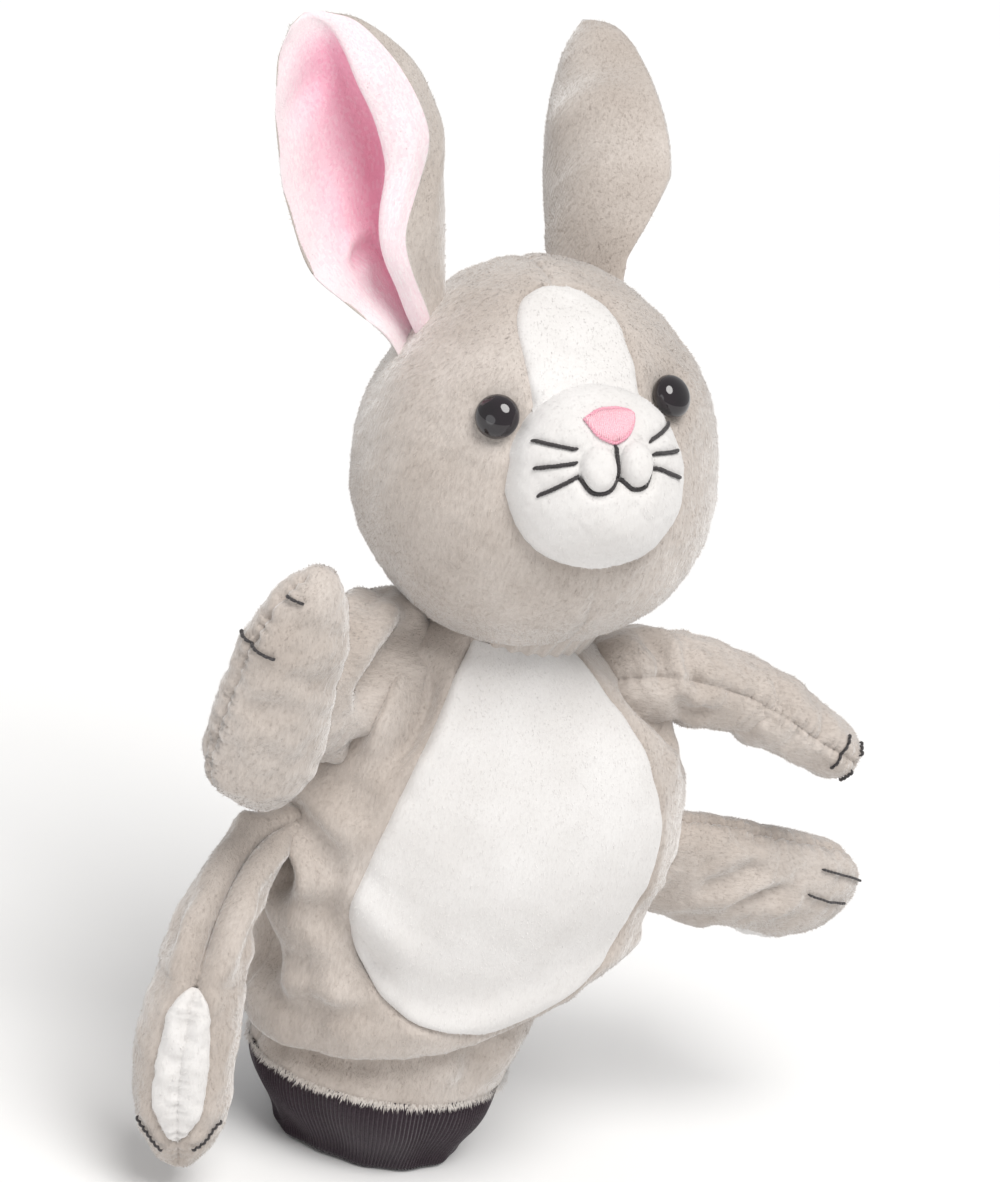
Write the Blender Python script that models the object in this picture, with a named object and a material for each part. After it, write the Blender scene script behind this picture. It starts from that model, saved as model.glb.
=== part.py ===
"""Rabbit hand puppet: a plush glove body with a head, two ears, two arms and two legs on fabric joints.

Blender 4.5. Metres, +Z up along the trunk, the rabbit faces -Y and its left side is at +X.
The origin is the centre of the hand opening, in the plane of the cuff's lower rim.
"""

from math import acos, atan2, cos, pi, radians, sin, sqrt

import bmesh
import bpy
from mathutils import Euler, Matrix, Vector

MM = 0.001

# Driving dimensions
PLUSH = 2.0 * MM  # plush fabric with its short pile
LINING = 0.8 * MM  # thin tricot lining
SEAM = 0.3 * MM  # gap between two sewn edges, or two layers
THREAD = 0.5 * MM  # radius of an embroidered line

CUFF_HEIGHT = 27 * MM
TRUNK_TOP = 163 * MM
BELLY_BOTTOM = 57 * MM
BELLY_HALF_ANGLE = radians(47)
BELLY_ROUNDING = 34 * MM

HEAD_RADII = Vector((50.5, 47.0, 54.0)) * MM
HEAD_EGG = 0.10  # how much narrower the crown is than the cheeks
HEAD_CENTRE = Vector((-8.5, 0.0, 218.5)) * MM
HEAD_TURN = Euler((radians(-13), radians(-13), radians(1)))
NECK_DROP = 12 * MM  # the neck turns about a point this far under the head's centre
NECK_HOLE = radians(-66)
CROWN = radians(89.2)

MUZZLE_LATITUDE = radians(1.5)
MUZZLE_RADIUS = 26.5 * MM
MUZZLE_HEIGHT = 14 * MM
MUZZLE_SIDES = 24
BLAZE_TOP = radians(65)
BLAZE_HALF_WIDTH = 17 * MM

EYE_RADIUS = 6.0 * MM
EYE_LONGITUDE = radians(32.5)
EYE_LATITUDE = radians(20)
EYE_POST_RADIUS = 1.6 * MM
EYE_POST_LENGTH = 8 * MM

EAR_LENGTH = 84 * MM
EAR_HALF_WIDTH = 23 * MM
EAR_CUP = 12 * MM
EAR_LAYER = 1.5 * MM

ARMHOLE_RADIUS = 10.4 * MM
SOLE_START = 0.55
SOLE_HALF_ANGLE = radians(38)

# Height, centre x, centre y, half width, half depth of the trunk, in mm
TRUNK_SECTIONS = [
    (27, -4, 0, 39, 31),
    (42, -4, 0, 41, 33),
    (60, -3, -1, 46, 36),
    (78, 0, -2, 56, 40),
    (100, 4, -3, 61, 42),
    (125, 5, -3, 59, 41),
    (145, 3, -2, 49, 36),
    (163, -3, 0, 31, 27),
]


def clear_scene():
    for obj in list(bpy.data.objects):
        bpy.data.objects.remove(obj)


def material(name, colour, roughness):
    made = bpy.data.materials.new(name)
    made.use_nodes = True
    shader = made.node_tree.nodes["Principled BSDF"]
    shader.inputs["Base Color"].default_value = (*colour, 1.0)
    shader.inputs["Roughness"].default_value = roughness
    return made


def empty(name, location, rotation, parent=None):
    made = bpy.data.objects.new(name, None)
    bpy.context.collection.objects.link(made)
    made.location = location
    made.rotation_euler = rotation
    made.parent = parent
    return made


def mesh_object(name, bm, finish, parent=None):
    """A named object from a bmesh, with its faces turned outwards."""
    bmesh.ops.recalc_face_normals(bm, faces=bm.faces)
    if bm.calc_volume(signed=True) < 0:
        bmesh.ops.reverse_faces(bm, faces=bm.faces)
    mesh = bpy.data.meshes.new(name)
    bm.to_mesh(mesh)
    bm.free()
    mesh.materials.append(finish)
    mesh.shade_smooth()
    mesh.set_sharp_from_angle(angle=radians(50))
    made = bpy.data.objects.new(name, mesh)
    bpy.context.collection.objects.link(made)
    made.parent = parent
    return made


def cut(target, cutter):
    change = target.modifiers.new("Cut", "BOOLEAN")
    change.operation = "DIFFERENCE"
    change.solver = "EXACT"
    change.object = cutter
    cutter.hide_render = True
    cutter.display_type = "WIRE"


def smooth(values, t):
    """Catmull-Rom through evenly spaced values (numbers or vectors), t from 0 to 1."""
    spans = len(values) - 1
    i = max(min(int(t * spans), spans - 1), 0)
    f = t * spans - i
    b, c = values[i], values[i + 1]
    a = values[i - 1] if i > 0 else 2 * b - c
    d = values[i + 2] if i + 2 <= spans else 2 * c - b
    return 0.5 * (2 * b + (c - a) * f + (2 * a - 5 * b + 4 * c - d) * f**2 + (3 * b - a - 3 * c + d) * f**3)


def steps_between(first, last, count):
    return [first + (last - first) * i / count for i in range(count + 1)]


def normal_of(surface, u, v):
    """Unit normal of surface(u, v), outward where u runs anticlockwise seen from above and v runs up."""
    step = 1e-3
    across = surface(u + step, v) - surface(u - step, v)
    low, high = max(v - step, 0.0), min(v + step, 1.0)
    return across.cross(surface(u, high) - surface(u, low)).normalized()


def bridge(bm, first, second):
    for i in range(len(first) - 1):
        bm.faces.new((first[i], first[i + 1], second[i + 1], second[i]))


def draw_in(points, last):
    """Moves each row's first and last point in, so that half a seam's gap opens along that edge."""
    moved = []
    for i, row in enumerate(points):
        low, high = points[max(i - 1, 0)], points[min(i + 1, len(points) - 1)]
        ends = []
        for k, inside in ((0, 1), (last, last - 1)):
            across = (row[inside] - row[k]).normalized()
            along = (high[k] - low[k]).normalized()
            lean = max(across.cross(along).length, 0.2)
            ends.append(row[k] + across * (SEAM * 0.6 / lean))
        moved.append(ends)
    for row, ends in zip(points, moved):
        row[0], row[last] = ends


def panel(name, surface, edges, rows, columns, thickness, finish, parent=None, offset=0.0, dip=None):
    """A closed sheet of fabric on surface(u, v). edges(v) is a row's first and last u; dip(u, v) shifts v."""
    outside, inside = [], []
    for v in rows:
        first, last = edges(v)
        outer, inner = [], []
        for u in steps_between(first, last, columns):
            place = v + (dip(u, v) if dip else 0.0)
            point, normal = surface(u, place), normal_of(surface, u, place)
            outer.append(point + normal * offset)
            inner.append(point + normal * (offset - thickness))
        outside.append(outer)
        inside.append(inner)
    bm = bmesh.new()
    grids = []
    for points in (outside, inside):
        draw_in(points, columns)
        grid = [[bm.verts.new(point) for point in row] for row in points]
        for low, high in zip(grid, grid[1:]):
            bridge(bm, low, high)
        grids.append(grid)
    outer, inner = grids
    for k in (0, -1):
        bridge(bm, outer[k], inner[k])
        bridge(bm, [row[k] for row in outer], [row[k] for row in inner])
    return mesh_object(name, bm, finish, parent)


def tube(name, surface, rows, columns, thickness, finish, parent=None, offset=0.0, closed_end=False):
    """A sleeve of fabric round surface(u, v), open at its ends or closed at the far one."""
    bm = bmesh.new()
    outer, inner = [], []
    for v in rows:
        outside, inside = [], []
        for j in range(columns):
            u = 2 * pi * j / columns
            point, normal = surface(u, v), normal_of(surface, u, v)
            outside.append(bm.verts.new(point + normal * offset))
            inside.append(bm.verts.new(point + normal * (offset - thickness)))
        outer.append(outside + outside[:1])
        inner.append(inside + inside[:1])
    for rings in (outer, inner):
        for low, high in zip(rings, rings[1:]):
            bridge(bm, low, high)
    bridge(bm, outer[0], inner[0])
    if closed_end:
        bm.faces.new(outer[-1][:-1])
        bm.faces.new(inner[-1][:-1])
    else:
        bridge(bm, outer[-1], inner[-1])
    return mesh_object(name, bm, finish, parent)


def filled(name, surface, rows, columns, inset, finish, parent=None):
    """A solid filling inside surface(u, v), with a flat face at each end."""
    bm = bmesh.new()
    rings = []
    for v in rows:
        ring = []
        for j in range(columns):
            u = 2 * pi * j / columns
            ring.append(bm.verts.new(surface(u, v) - normal_of(surface, u, v) * inset))
        rings.append(ring + ring[:1])
    for low, high in zip(rings, rings[1:]):
        bridge(bm, low, high)
    bm.faces.new(rings[0][:-1])
    bm.faces.new(rings[-1][:-1])
    return mesh_object(name, bm, finish, parent)


def lathe(name, profile, steps, finish, parent=None):
    """A turned solid from (radius, height) points: from axis to axis, or a closed ring clear of the axis."""
    bm = bmesh.new()
    rings = []
    for radius, height in profile:
        if radius == 0.0:
            rings.append([bm.verts.new((0, 0, height))] * (steps + 1))
            continue
        ring = []
        for j in range(steps):
            angle = 2 * pi * j / steps
            ring.append(bm.verts.new((radius * cos(angle), radius * sin(angle), height)))
        rings.append(ring + ring[:1])
    pairs = list(zip(rings, rings[1:]))
    if profile[0][0] > 0.0:
        pairs.append((rings[-1], rings[0]))
    for low, high in pairs:
        for j in range(steps):
            corners = list(dict.fromkeys((low[j], low[j + 1], high[j + 1], high[j])))
            bm.faces.new(corners)
    return mesh_object(name, bm, finish, parent)


def thread(name, points, radius, sides, finish, parent=None):
    """A line of embroidery: a round cord along the points, with flat ends."""
    bm = bmesh.new()
    rings = []
    side = None
    for i, point in enumerate(points):
        along = (points[min(i + 1, len(points) - 1)] - points[max(i - 1, 0)]).normalized()
        side = along.orthogonal() if side is None else side - along * along.dot(side)
        side.normalize()
        up = along.cross(side)
        ring = []
        for j in range(sides):
            angle = 2 * pi * j / sides
            ring.append(bm.verts.new(point + (side * cos(angle) + up * sin(angle)) * radius))
        rings.append(ring + ring[:1])
    for low, high in zip(rings, rings[1:]):
        bridge(bm, low, high)
    bm.faces.new(rings[0][:-1])
    bm.faces.new(rings[-1][:-1])
    return mesh_object(name, bm, finish, parent)


# Trunk

def trunk_v(height):
    return (height - CUFF_HEIGHT) / (TRUNK_TOP - CUFF_HEIGHT)


def trunk_section(v):
    """Height, centre and half sizes of the trunk at v, from 0 at the cuff's seam to 1 at the neck."""
    height = CUFF_HEIGHT + v * (TRUNK_TOP - CUFF_HEIGHT)
    rows = [[value * MM for value in row] for row in TRUNK_SECTIONS]
    i = max(k for k in range(len(rows) - 1) if rows[k][0] <= height + 1e-9 or k == 0)
    share = (height - rows[i][0]) / (rows[i + 1][0] - rows[i][0])
    t = (i + share) / (len(rows) - 1)
    return height, [smooth([row[k] for row in rows], t) for k in range(1, 5)]


def trunk_surface(u, v):
    """u is 0 at the middle of the front and grows towards the rabbit's left."""
    height, (x, y, half_width, half_depth) = trunk_section(v)
    return Vector((x + half_width * sin(u), y - half_depth * cos(u), height))


def belly_half_angle(height):
    """Half the belly's width: rounded at the bottom, nearly straight up to the neck."""
    rise = height - BELLY_BOTTOM
    if rise <= 0:
        return 0.0
    if rise < BELLY_ROUNDING:
        return BELLY_HALF_ANGLE * sqrt(1 - (1 - rise / BELLY_ROUNDING) ** 2)
    return BELLY_HALF_ANGLE * (1 - 0.18 * (rise - BELLY_ROUNDING) / (TRUNK_TOP - BELLY_BOTTOM))


def between_knots(function, knots):
    """The function made straight between knots, so that both sides of a seam follow one line."""
    values = [function(knot) for knot in knots]

    def straight(x):
        for (a, fa), (b, fb) in zip(zip(knots, values), zip(knots[1:], values[1:])):
            if a <= x <= b:
                return fa + (fb - fa) * (x - a) / (b - a)
        return values[0] if x < knots[0] else values[-1]

    return straight


def make_trunk(grey, white, knit, lining):
    rounding = [BELLY_BOTTOM + BELLY_ROUNDING * (1 - cos(radians(a))) for a in (0, 14, 30, 47, 66, 90)]
    heights = [CUFF_HEIGHT + 0.4 * MM, 36 * MM, 47 * MM] + rounding
    heights += steps_between(BELLY_BOTTOM + BELLY_ROUNDING, TRUNK_TOP - 0.5 * MM, 5)[1:]
    edge = between_knots(belly_half_angle, heights)
    rows = [trunk_v(height) for height in heights]

    def height_of(v):
        return CUFF_HEIGHT + v * (TRUNK_TOP - CUFF_HEIGHT)

    def front_left(v):
        return edge(height_of(v)), pi / 2

    def front_right(v):
        return -pi / 2, -edge(height_of(v))

    def back_left(v):
        return pi / 2, pi

    def back_right(v):
        return -pi, -pi / 2

    def belly(v):
        return -edge(height_of(v)), edge(height_of(v))

    panels = {
        "left": [
            panel("trunk_front_left", trunk_surface, front_left, rows, 6, PLUSH, grey),
            panel("trunk_back_left", trunk_surface, back_left, rows, 7, PLUSH, grey),
        ],
        "right": [
            panel("trunk_front_right", trunk_surface, front_right, rows, 6, PLUSH, grey),
            panel("trunk_back_right", trunk_surface, back_right, rows, 7, PLUSH, grey),
        ],
    }
    belly_rows = [trunk_v(BELLY_BOTTOM + 0.6 * MM)] + [row for row in rows if row > trunk_v(BELLY_BOTTOM + 0.7 * MM)]
    panel("belly", trunk_surface, belly, belly_rows, 8, PLUSH, white)

    def cuff_surface(u, v):
        _, (x, y, half_width, half_depth) = trunk_section(0.0)
        ease = v * v * (3 - 2 * v)
        taper = 0.72 + 0.27 * ease
        return Vector((x * ease + half_width * taper * sin(u), y - half_depth * taper * cos(u), CUFF_HEIGHT * v))

    tube("cuff", cuff_surface, steps_between(0.0, 0.985, 6), 28, 1.6 * MM, knit)
    lining_tube = tube(
        "hand_lining", trunk_surface, steps_between(0.012, 0.97, 9), 28, LINING, lining, offset=-PLUSH - 1.3 * MM
    )
    core = filled("trunk_core", trunk_surface, steps_between(0.0, 1.0, 14), 48, -0.5 * MM, lining)
    return panels, lining_tube, core


# Head

def head_point(longitude, latitude, lift=0.0):
    """A point on the head, longitude 0 at the face. lift raises it off the surface."""
    ring = cos(latitude) * (1 - HEAD_EGG * sin(latitude))
    return Vector((
        (HEAD_RADII.x + lift) * ring * sin(longitude),
        -(HEAD_RADII.y + lift) * ring * cos(longitude),
        (HEAD_RADII.z + lift) * sin(latitude),
    ))


def head_surface(u, v):
    return head_point(u, NECK_HOLE + v * (CROWN - NECK_HOLE))


def head_v(latitude):
    return (latitude - NECK_HOLE) / (CROWN - NECK_HOLE)


def latitude_of(v):
    return NECK_HOLE + v * (CROWN - NECK_HOLE)


MUZZLE_REACH = MUZZLE_RADIUS / HEAD_RADII.z
MUZZLE_SPREAD = MUZZLE_RADIUS / HEAD_RADII.x


def muzzle_half_angle(latitude):
    across = 1 - ((latitude - MUZZLE_LATITUDE) / MUZZLE_REACH) ** 2
    return MUZZLE_SPREAD / cos(latitude) * sqrt(across) if across > 0 else 0.0


def blaze_half_angle(latitude):
    """Half the blaze's width: a strip up the forehead with a rounded top."""
    share = (BLAZE_TOP - latitude) / radians(22)
    if latitude < MUZZLE_LATITUDE or share <= 0:
        return 0.0
    half_width = BLAZE_HALF_WIDTH * (sqrt(1 - (1 - share) ** 2) if share < 1 else 1.0)
    return half_width / (HEAD_RADII.x * cos(latitude))


def face_half_angle(latitude):
    return max(muzzle_half_angle(latitude), blaze_half_angle(latitude))


def muzzle_dome(u, v):
    """v runs from the sewn rim to the tip of the nose; u runs round, 0 at the top."""
    swell = cos(v * pi / 2) * 0.98
    latitude = MUZZLE_LATITUDE + MUZZLE_REACH * swell * cos(u)
    longitude = MUZZLE_SPREAD * swell * sin(u) / cos(latitude)
    axis = Vector((0, -cos(MUZZLE_LATITUDE), sin(MUZZLE_LATITUDE)))
    return head_point(longitude, latitude) + axis * MUZZLE_HEIGHT * sin(v * pi / 2) ** 0.8


def on_muzzle(right, up, lift):
    """A point over the muzzle, right and up of its middle as seen from the front."""
    reach = min(sqrt(right**2 + up**2) / (MUZZLE_RADIUS * 0.98), 1.0)
    u, v = atan2(right, up), acos(reach) * 2 / pi
    normal = normal_of(muzzle_dome, u, v)
    if normal.y > 0:
        normal = -normal
    return muzzle_dome(u, v) + normal * lift


def make_face(white, pink, black, parent):
    muzzle_rows = steps_between(0.0, 0.94, 6)

    def dome(u, v):
        return muzzle_dome(-u, v)

    tube("muzzle", dome, muzzle_rows, MUZZLE_SIDES, PLUSH, white, parent, closed_end=True)

    def line(name, places, steps):
        points = [on_muzzle(*(smooth(places, i / steps) * MM), THREAD + SEAM) for i in range(steps + 1)]
        return thread(name, points, THREAD, 6, black, parent)

    smile = [Vector(p) for p in ((-11, 3), (-8, -1), (-3.5, -1), (0, 2), (3.5, -1), (8, -1), (11, 3))]
    line("mouth_stitches", smile, 16)
    line("philtrum_stitches", [Vector((0, 10.6)), Vector((0, 3.8))], 3)
    rows = ((11, 10.5, 20.5, 12.5), (11.5, 7, 21.5, 5.5), (11.5, 3.5, 21, -1.5))
    for side, sign in (("left", 1), ("right", -1)):
        for number, (x0, y0, x1, y1) in enumerate(rows):
            line(f"whisker_{side}_{number + 1}", [Vector((sign * x0, y0)), Vector((sign * x1, y1))], 4)
    outline = ((-7, 17.6), (-3.2, 19.4), (0, 19.8), (3.2, 19.4), (7, 17.6), (4.6, 13.4), (0, 11.4), (-4.6, 13.4))
    bm = bmesh.new()
    rims = []
    for lift in (SEAM * 1.5, SEAM + 1.2 * MM):
        ring = [bm.verts.new(on_muzzle(x * MM, y * MM, lift)) for x, y in outline]
        middle = bm.verts.new(on_muzzle(0, 16 * MM, lift + 0.2 * MM))
        for j in range(len(ring)):
            bm.faces.new((ring[j], ring[(j + 1) % len(ring)], middle))
        rims.append(ring + ring[:1])
    bridge(bm, *rims)
    mesh_object("nose_stitches", bm, pink, parent)


def make_eyes(panels, stuffing, black, clear, parent):
    """Domed safety eyes, each with a post through the fabric and a washer pressed on behind it."""
    for side, sign in (("left", 1), ("right", -1)):
        seat = head_point(sign * EYE_LONGITUDE, EYE_LATITUDE)
        outward = head_point(sign * EYE_LONGITUDE, EYE_LATITUDE, MM) - seat
        turn = outward.to_track_quat("Z", "Y").to_euler()
        rim, rise = 0.9 * MM, EYE_RADIUS * 0.72
        profile = [(0.0, -EYE_POST_LENGTH), (EYE_POST_RADIUS, -EYE_POST_LENGTH), (EYE_POST_RADIUS, rim)]
        for angle in (0, 20, 40, 60, 78):
            profile.append((EYE_RADIUS * cos(radians(angle)), rim + rise * sin(radians(angle))))
        profile.append((0.0, rim + rise))
        bore = EYE_POST_RADIUS + 0.1 * MM
        back, front = -PLUSH - 2.6 * MM, -PLUSH - 1.4 * MM
        washer = [(bore, back), (bore, front), (6.3 * MM, front), (6.3 * MM, back)]
        hole = [(0.0, -PLUSH * 2), (bore, -PLUSH * 2), (bore, PLUSH), (0.0, PLUSH)]
        room = EYE_POST_LENGTH + SEAM
        pocket = [(0.0, -room), (7.0 * MM, -room), (7.0 * MM, PLUSH), (0.0, PLUSH)]
        eye = lathe(f"eye_{side}", profile, 16, black, parent)
        disc = lathe(f"eye_washer_{side}", washer, 16, clear, parent)
        hole_cutter = lathe(f"eye_hole_{side}", hole, 12, clear, parent)
        pocket_cutter = lathe(f"eye_pocket_{side}", pocket, 12, clear, parent)
        for part in (eye, disc, hole_cutter, pocket_cutter):
            part.location = seat
            part.rotation_euler = turn
        cut(panels[side], hole_cutter)
        cut(stuffing, pocket_cutter)


def make_head(head, grey, white, pink, black_thread, black, clear, fill):
    ring = [MUZZLE_LATITUDE - MUZZLE_REACH * cos(2 * pi * k / MUZZLE_SIDES) for k in range(MUZZLE_SIDES // 2)]
    latitudes = steps_between(NECK_HOLE, ring[0], 4)[:-1] + ring[:-1]
    latitudes += steps_between(ring[-1], BLAZE_TOP - radians(22), 3)[:-1]
    latitudes += [BLAZE_TOP - radians(22) * (1 - sin(radians(a))) for a in (0, 22, 45, 66, 90)]
    latitudes += [radians(72), radians(81), CROWN]
    edge = between_knots(face_half_angle, latitudes)
    rows = [head_v(latitude) for latitude in latitudes]

    def left(v):
        return edge(latitude_of(v)), pi

    def right(v):
        return -pi, -edge(latitude_of(v))

    panels = {
        "left": panel("head_left", head_surface, left, rows, 12, PLUSH, grey, head),
        "right": panel("head_right", head_surface, right, rows, 12, PLUSH, grey, head),
    }
    top_of_muzzle = head_v(MUZZLE_LATITUDE + MUZZLE_REACH) + 0.006
    strip_rows = [row for row in rows if top_of_muzzle + 0.02 < row < head_v(BLAZE_TOP - radians(0.3))]
    strip_rows = [top_of_muzzle] + strip_rows + [head_v(BLAZE_TOP - radians(0.5))]

    def follow_muzzle(u, v):
        share = max(0.0, 1 - (v - top_of_muzzle) / 0.11)
        across = min(abs(u) * cos(MUZZLE_LATITUDE + MUZZLE_REACH) / MUZZLE_SPREAD, 1.0)
        return -share * (MUZZLE_REACH * (1 - sqrt(1 - across**2))) / (CROWN - NECK_HOLE)

    blaze_edge = between_knots(blaze_half_angle, latitudes)

    def strip(v):
        half = blaze_edge(latitude_of(v))
        half = blaze_edge(latitude_of(v + follow_muzzle(half, v)))
        return -half, half

    panel("blaze", head_surface, strip, strip_rows, 6, PLUSH, white, head, dip=follow_muzzle)
    make_face(white, pink, black_thread, head)

    inset, low = PLUSH + SEAM * 4, radians(-61)
    bore_radius, bore_top = 11 * MM, 26 * MM
    profile = [(0.0, bore_top), (bore_radius * 0.7, bore_top), (bore_radius, bore_top - 4 * MM)]
    profile.append((bore_radius, head_point(0, low, -inset).z))
    for latitude in steps_between(low, radians(90), 18)[:-1]:
        point = head_point(0, latitude, -inset)
        profile.append((-point.y, point.z))
    profile.append((0.0, head_point(0, radians(90), -inset).z))
    stuffing = lathe("head_stuffing", profile, 24, fill, head)
    wider = (HEAD_RADII.x - inset) / (HEAD_RADII.y - inset)
    stuffing.data.transform(Matrix.Diagonal((wider, 1.0, 1.0, 1.0)))
    make_eyes(panels, stuffing, black, clear, head)


def make_neck(neck, grey, lining):
    """The finger pocket that the head turns on, and the gathered collar between the head and the trunk."""
    radius, top, wall = 10.4 * MM, 25.4 * MM, 1.2 * MM
    floor = head_point(0, NECK_HOLE).z - 2 * MM
    outer = [(radius, floor), (radius, top - 4 * MM), (radius * 0.62, top), (0.0, top)]
    inner = [(0.0, top - wall), (radius * 0.55, top - wall)]
    inner += [(radius - wall, top - 4.6 * MM), (radius - wall, floor)]
    pocket = lathe("head_finger_pocket", inner + outer, 20, lining, neck)
    pocket.location = (0, 0, NECK_DROP)
    place = Matrix.Translation(HEAD_CENTRE) @ HEAD_TURN.to_matrix().to_4x4()

    def collar(u, v):
        rim = head_point(u, NECK_HOLE)
        high = place @ Vector((rim.x * 0.80, rim.y * 0.80, rim.z + 2.5 * MM))
        low = Vector((rim.x * 0.82 - 1 * MM, rim.y * 0.82, TRUNK_TOP - 8 * MM))
        return low.lerp(high, v)

    tube("neck_collar", collar, steps_between(0.0, 1.0, 3), 24, 1.0 * MM, grey)


# Ears

# Base in the head's frame in mm, and turn in degrees
EARS = {
    "left": {"base": (27.4, 10.4, 46.9), "turn": (35, 24, 133), "bow": 0},
    "right": {"base": (-34.3, 2, 43.0), "turn": (0, -17, 10), "bow": -8},
}


def ear_sheet(width, cup, bow):
    """An ear as a petal cupped towards -Y and bowed sideways, standing on its origin. v runs up."""
    def sheet(u, v):
        outline = sin(pi * (0.10 + 0.895 * v) ** 0.88) ** 0.75
        y = -cup * (0.15 + 0.85 * min(1.0, v / 0.3)) * outline * u**2 + 5 * MM * sin(pi * v)
        return Vector((width * outline * u + bow * sin(pi * v), y, EAR_LENGTH * v))

    return sheet


def make_ear(side, joint, bow, grey, pink):
    rows = [0.02, 0.1, 0.2, 0.32, 0.45, 0.58, 0.7, 0.8, 0.88, 0.94, 0.985]

    def whole(v):
        return -1.0, 1.0

    for name, finish, offset in (("back", grey, 0.0), ("inner", pink, EAR_LAYER + SEAM)):
        sheet = ear_sheet(EAR_HALF_WIDTH, EAR_CUP, bow)
        panel(f"ear_{side}_{name}", sheet, whole, rows, 8, EAR_LAYER, finish, joint, offset)


# Arms and legs

def limb_surface(spine, widths, depths, across, tip_round=0.0, root_round=0.0):
    """A mitten along a smooth spine. u is 0 on its back edge, which faces across, and pi on its palm edge."""
    spine = [Vector(point) * MM for point in spine]
    widths = [width * MM for width in widths]
    depths = [depth * MM for depth in depths]

    def surface(u, v):
        centre = smooth(spine, v)
        along = (smooth(spine, v + 0.02) - smooth(spine, v - 0.02)).normalized()
        wide = (across - along * along.dot(across)).normalized()
        deep = along.cross(wide)
        ease = 1.0
        if tip_round and v > 1 - tip_round:
            ease = sqrt(max(1e-4, 1 - ((v - 1 + tip_round) / tip_round) ** 2))
        if root_round and v < root_round:
            ease = sqrt(max(1e-4, 1 - ((root_round - v) / root_round) ** 2))
        return centre + wide * (smooth(widths, v) * ease * cos(u)) + deep * (smooth(depths, v) * ease * sin(u))

    return surface


def make_mitten(prefix, surface, rows, grey, parent, sole_white=None):
    """Two side panels sewn edge to edge, and a white sole let in along the palm edge when sole_white is given."""
    def half_of(v):
        share = (v - SOLE_START) / 0.25 if sole_white else 0.0
        return 0.0 if share <= 0 else SOLE_HALF_ANGLE * (sqrt(1 - (1 - share) ** 2) if share < 1 else 1.0)

    half = between_knots(half_of, rows)

    def near(v):
        return 0.0, pi - half(v)

    def far(v):
        return pi + half(v), 2 * pi

    def sole(v):
        return pi - half(v), pi + half(v)

    sides = [
        panel(f"{prefix}_side_a", surface, near, rows, 6, PLUSH, grey, parent),
        panel(f"{prefix}_side_b", surface, far, rows, 6, PLUSH, grey, parent),
    ]
    if sole_white:
        sole_rows = [SOLE_START + 0.014] + [row for row in rows if row > SOLE_START + 0.02]
        panel(f"{prefix}_sole", surface, sole, sole_rows, 4, PLUSH, sole_white, parent)
    return sides


def mitten_rows(tip, heel, more=()):
    angles = (0, 28, 50, 68, 82)
    rows = [1 - tip * (1 - sin(radians(a))) for a in angles]
    start = heel or 0.0
    rows += steps_between(start, 1 - tip, 4)[:-1]
    if heel:
        rows += [heel * (1 - sin(radians(a))) for a in angles[1:]]
    return sorted(set(rows) | set(more))


def joint_frame(name, pivot, parent=None):
    return empty(name, Vector(pivot) * MM, (0, 0, 0), parent)


def to_local(points, pivot):
    return [tuple(a - b for a, b in zip(point, pivot)) for point in points]


AWAY = Vector((0.42, 0.83, -0.36))
BACK_LEFT = Vector((0.93, 0.24, 0.15))

ARMS = {
    # All in mm: shoulder and elbow pivots, then each spine with its half widths and half depths
    "left": {
        "shoulder": (41, 0, 152),
        "elbow": (76, -2, 152),
        "sleeve": [(42, 0, 155), (54, -1, 156.5), (66, -1.5, 155), (78, -2, 151.5)],
        "sleeve_wide": [13.5, 13, 12.5, 11.8],
        "sleeve_deep": [12.5, 12, 11.2, 9.8],
        "stall": [(36, 0, 152), (50, 0, 155), (66, -1.5, 154.5), (80, -3, 150), (98, -6, 143)],
        "stall_wide": [8.6, 9.2, 8.8, 7.8, 4.6],
        "stall_deep": [8.2, 8.6, 7.4, 6.2, 4.0],
        "paw": [(74, -1.6, 152.5), (87, -4, 148), (100, -7, 142.5), (114, -10, 137)],
        "paw_wide": [15.5, 17, 16.5, 13.5],
        "paw_deep": [13.2, 11.5, 9.5, 7.5],
        "paw_tip": 0.24,
        "paw_heel": 0.0,
        "across": AWAY,
        "claws": [(2.5, 0.76, 3.7, 0.76), (2.1, 0.91, 2.8, 0.91), (3.5, 0.91, 4.2, 0.91)],
    },
    "right": {
        "shoulder": (-41, -3, 150),
        "elbow": (-69, -24, 151),
        "sleeve": [(-36, 0, 151), (-46, -7, 153), (-57, -14, 153), (-66, -22, 151.5)],
        "sleeve_wide": [13.0, 12.5, 12.0, 11.0],
        "sleeve_deep": [12.5, 11.5, 10.5, 9.2],
        "stall": [(-34, 1, 151), (-45, -6, 152.5), (-56, -13.5, 153), (-67, -23, 151.5), (-78, -35, 150.5)],
        "stall_wide": [8.4, 8.8, 8.2, 7.0, 6.0],
        "stall_deep": [8.0, 8.0, 7.0, 5.8, 5.2],
        "paw": [(-72, -29, 120), (-79, -34, 139), (-82, -40, 163), (-82, -46, 196)],
        "paw_wide": [12, 18.5, 17.5, 11.5],
        "paw_deep": [10, 12.5, 11.5, 8.5],
        "paw_tip": 0.26,
        "paw_heel": 0.26,
        "across": BACK_LEFT,
        "claws": [(2.7, 0.79, 3.9, 0.79), (3.3, 0.93, 4.0, 0.93)],
    },
}

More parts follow.
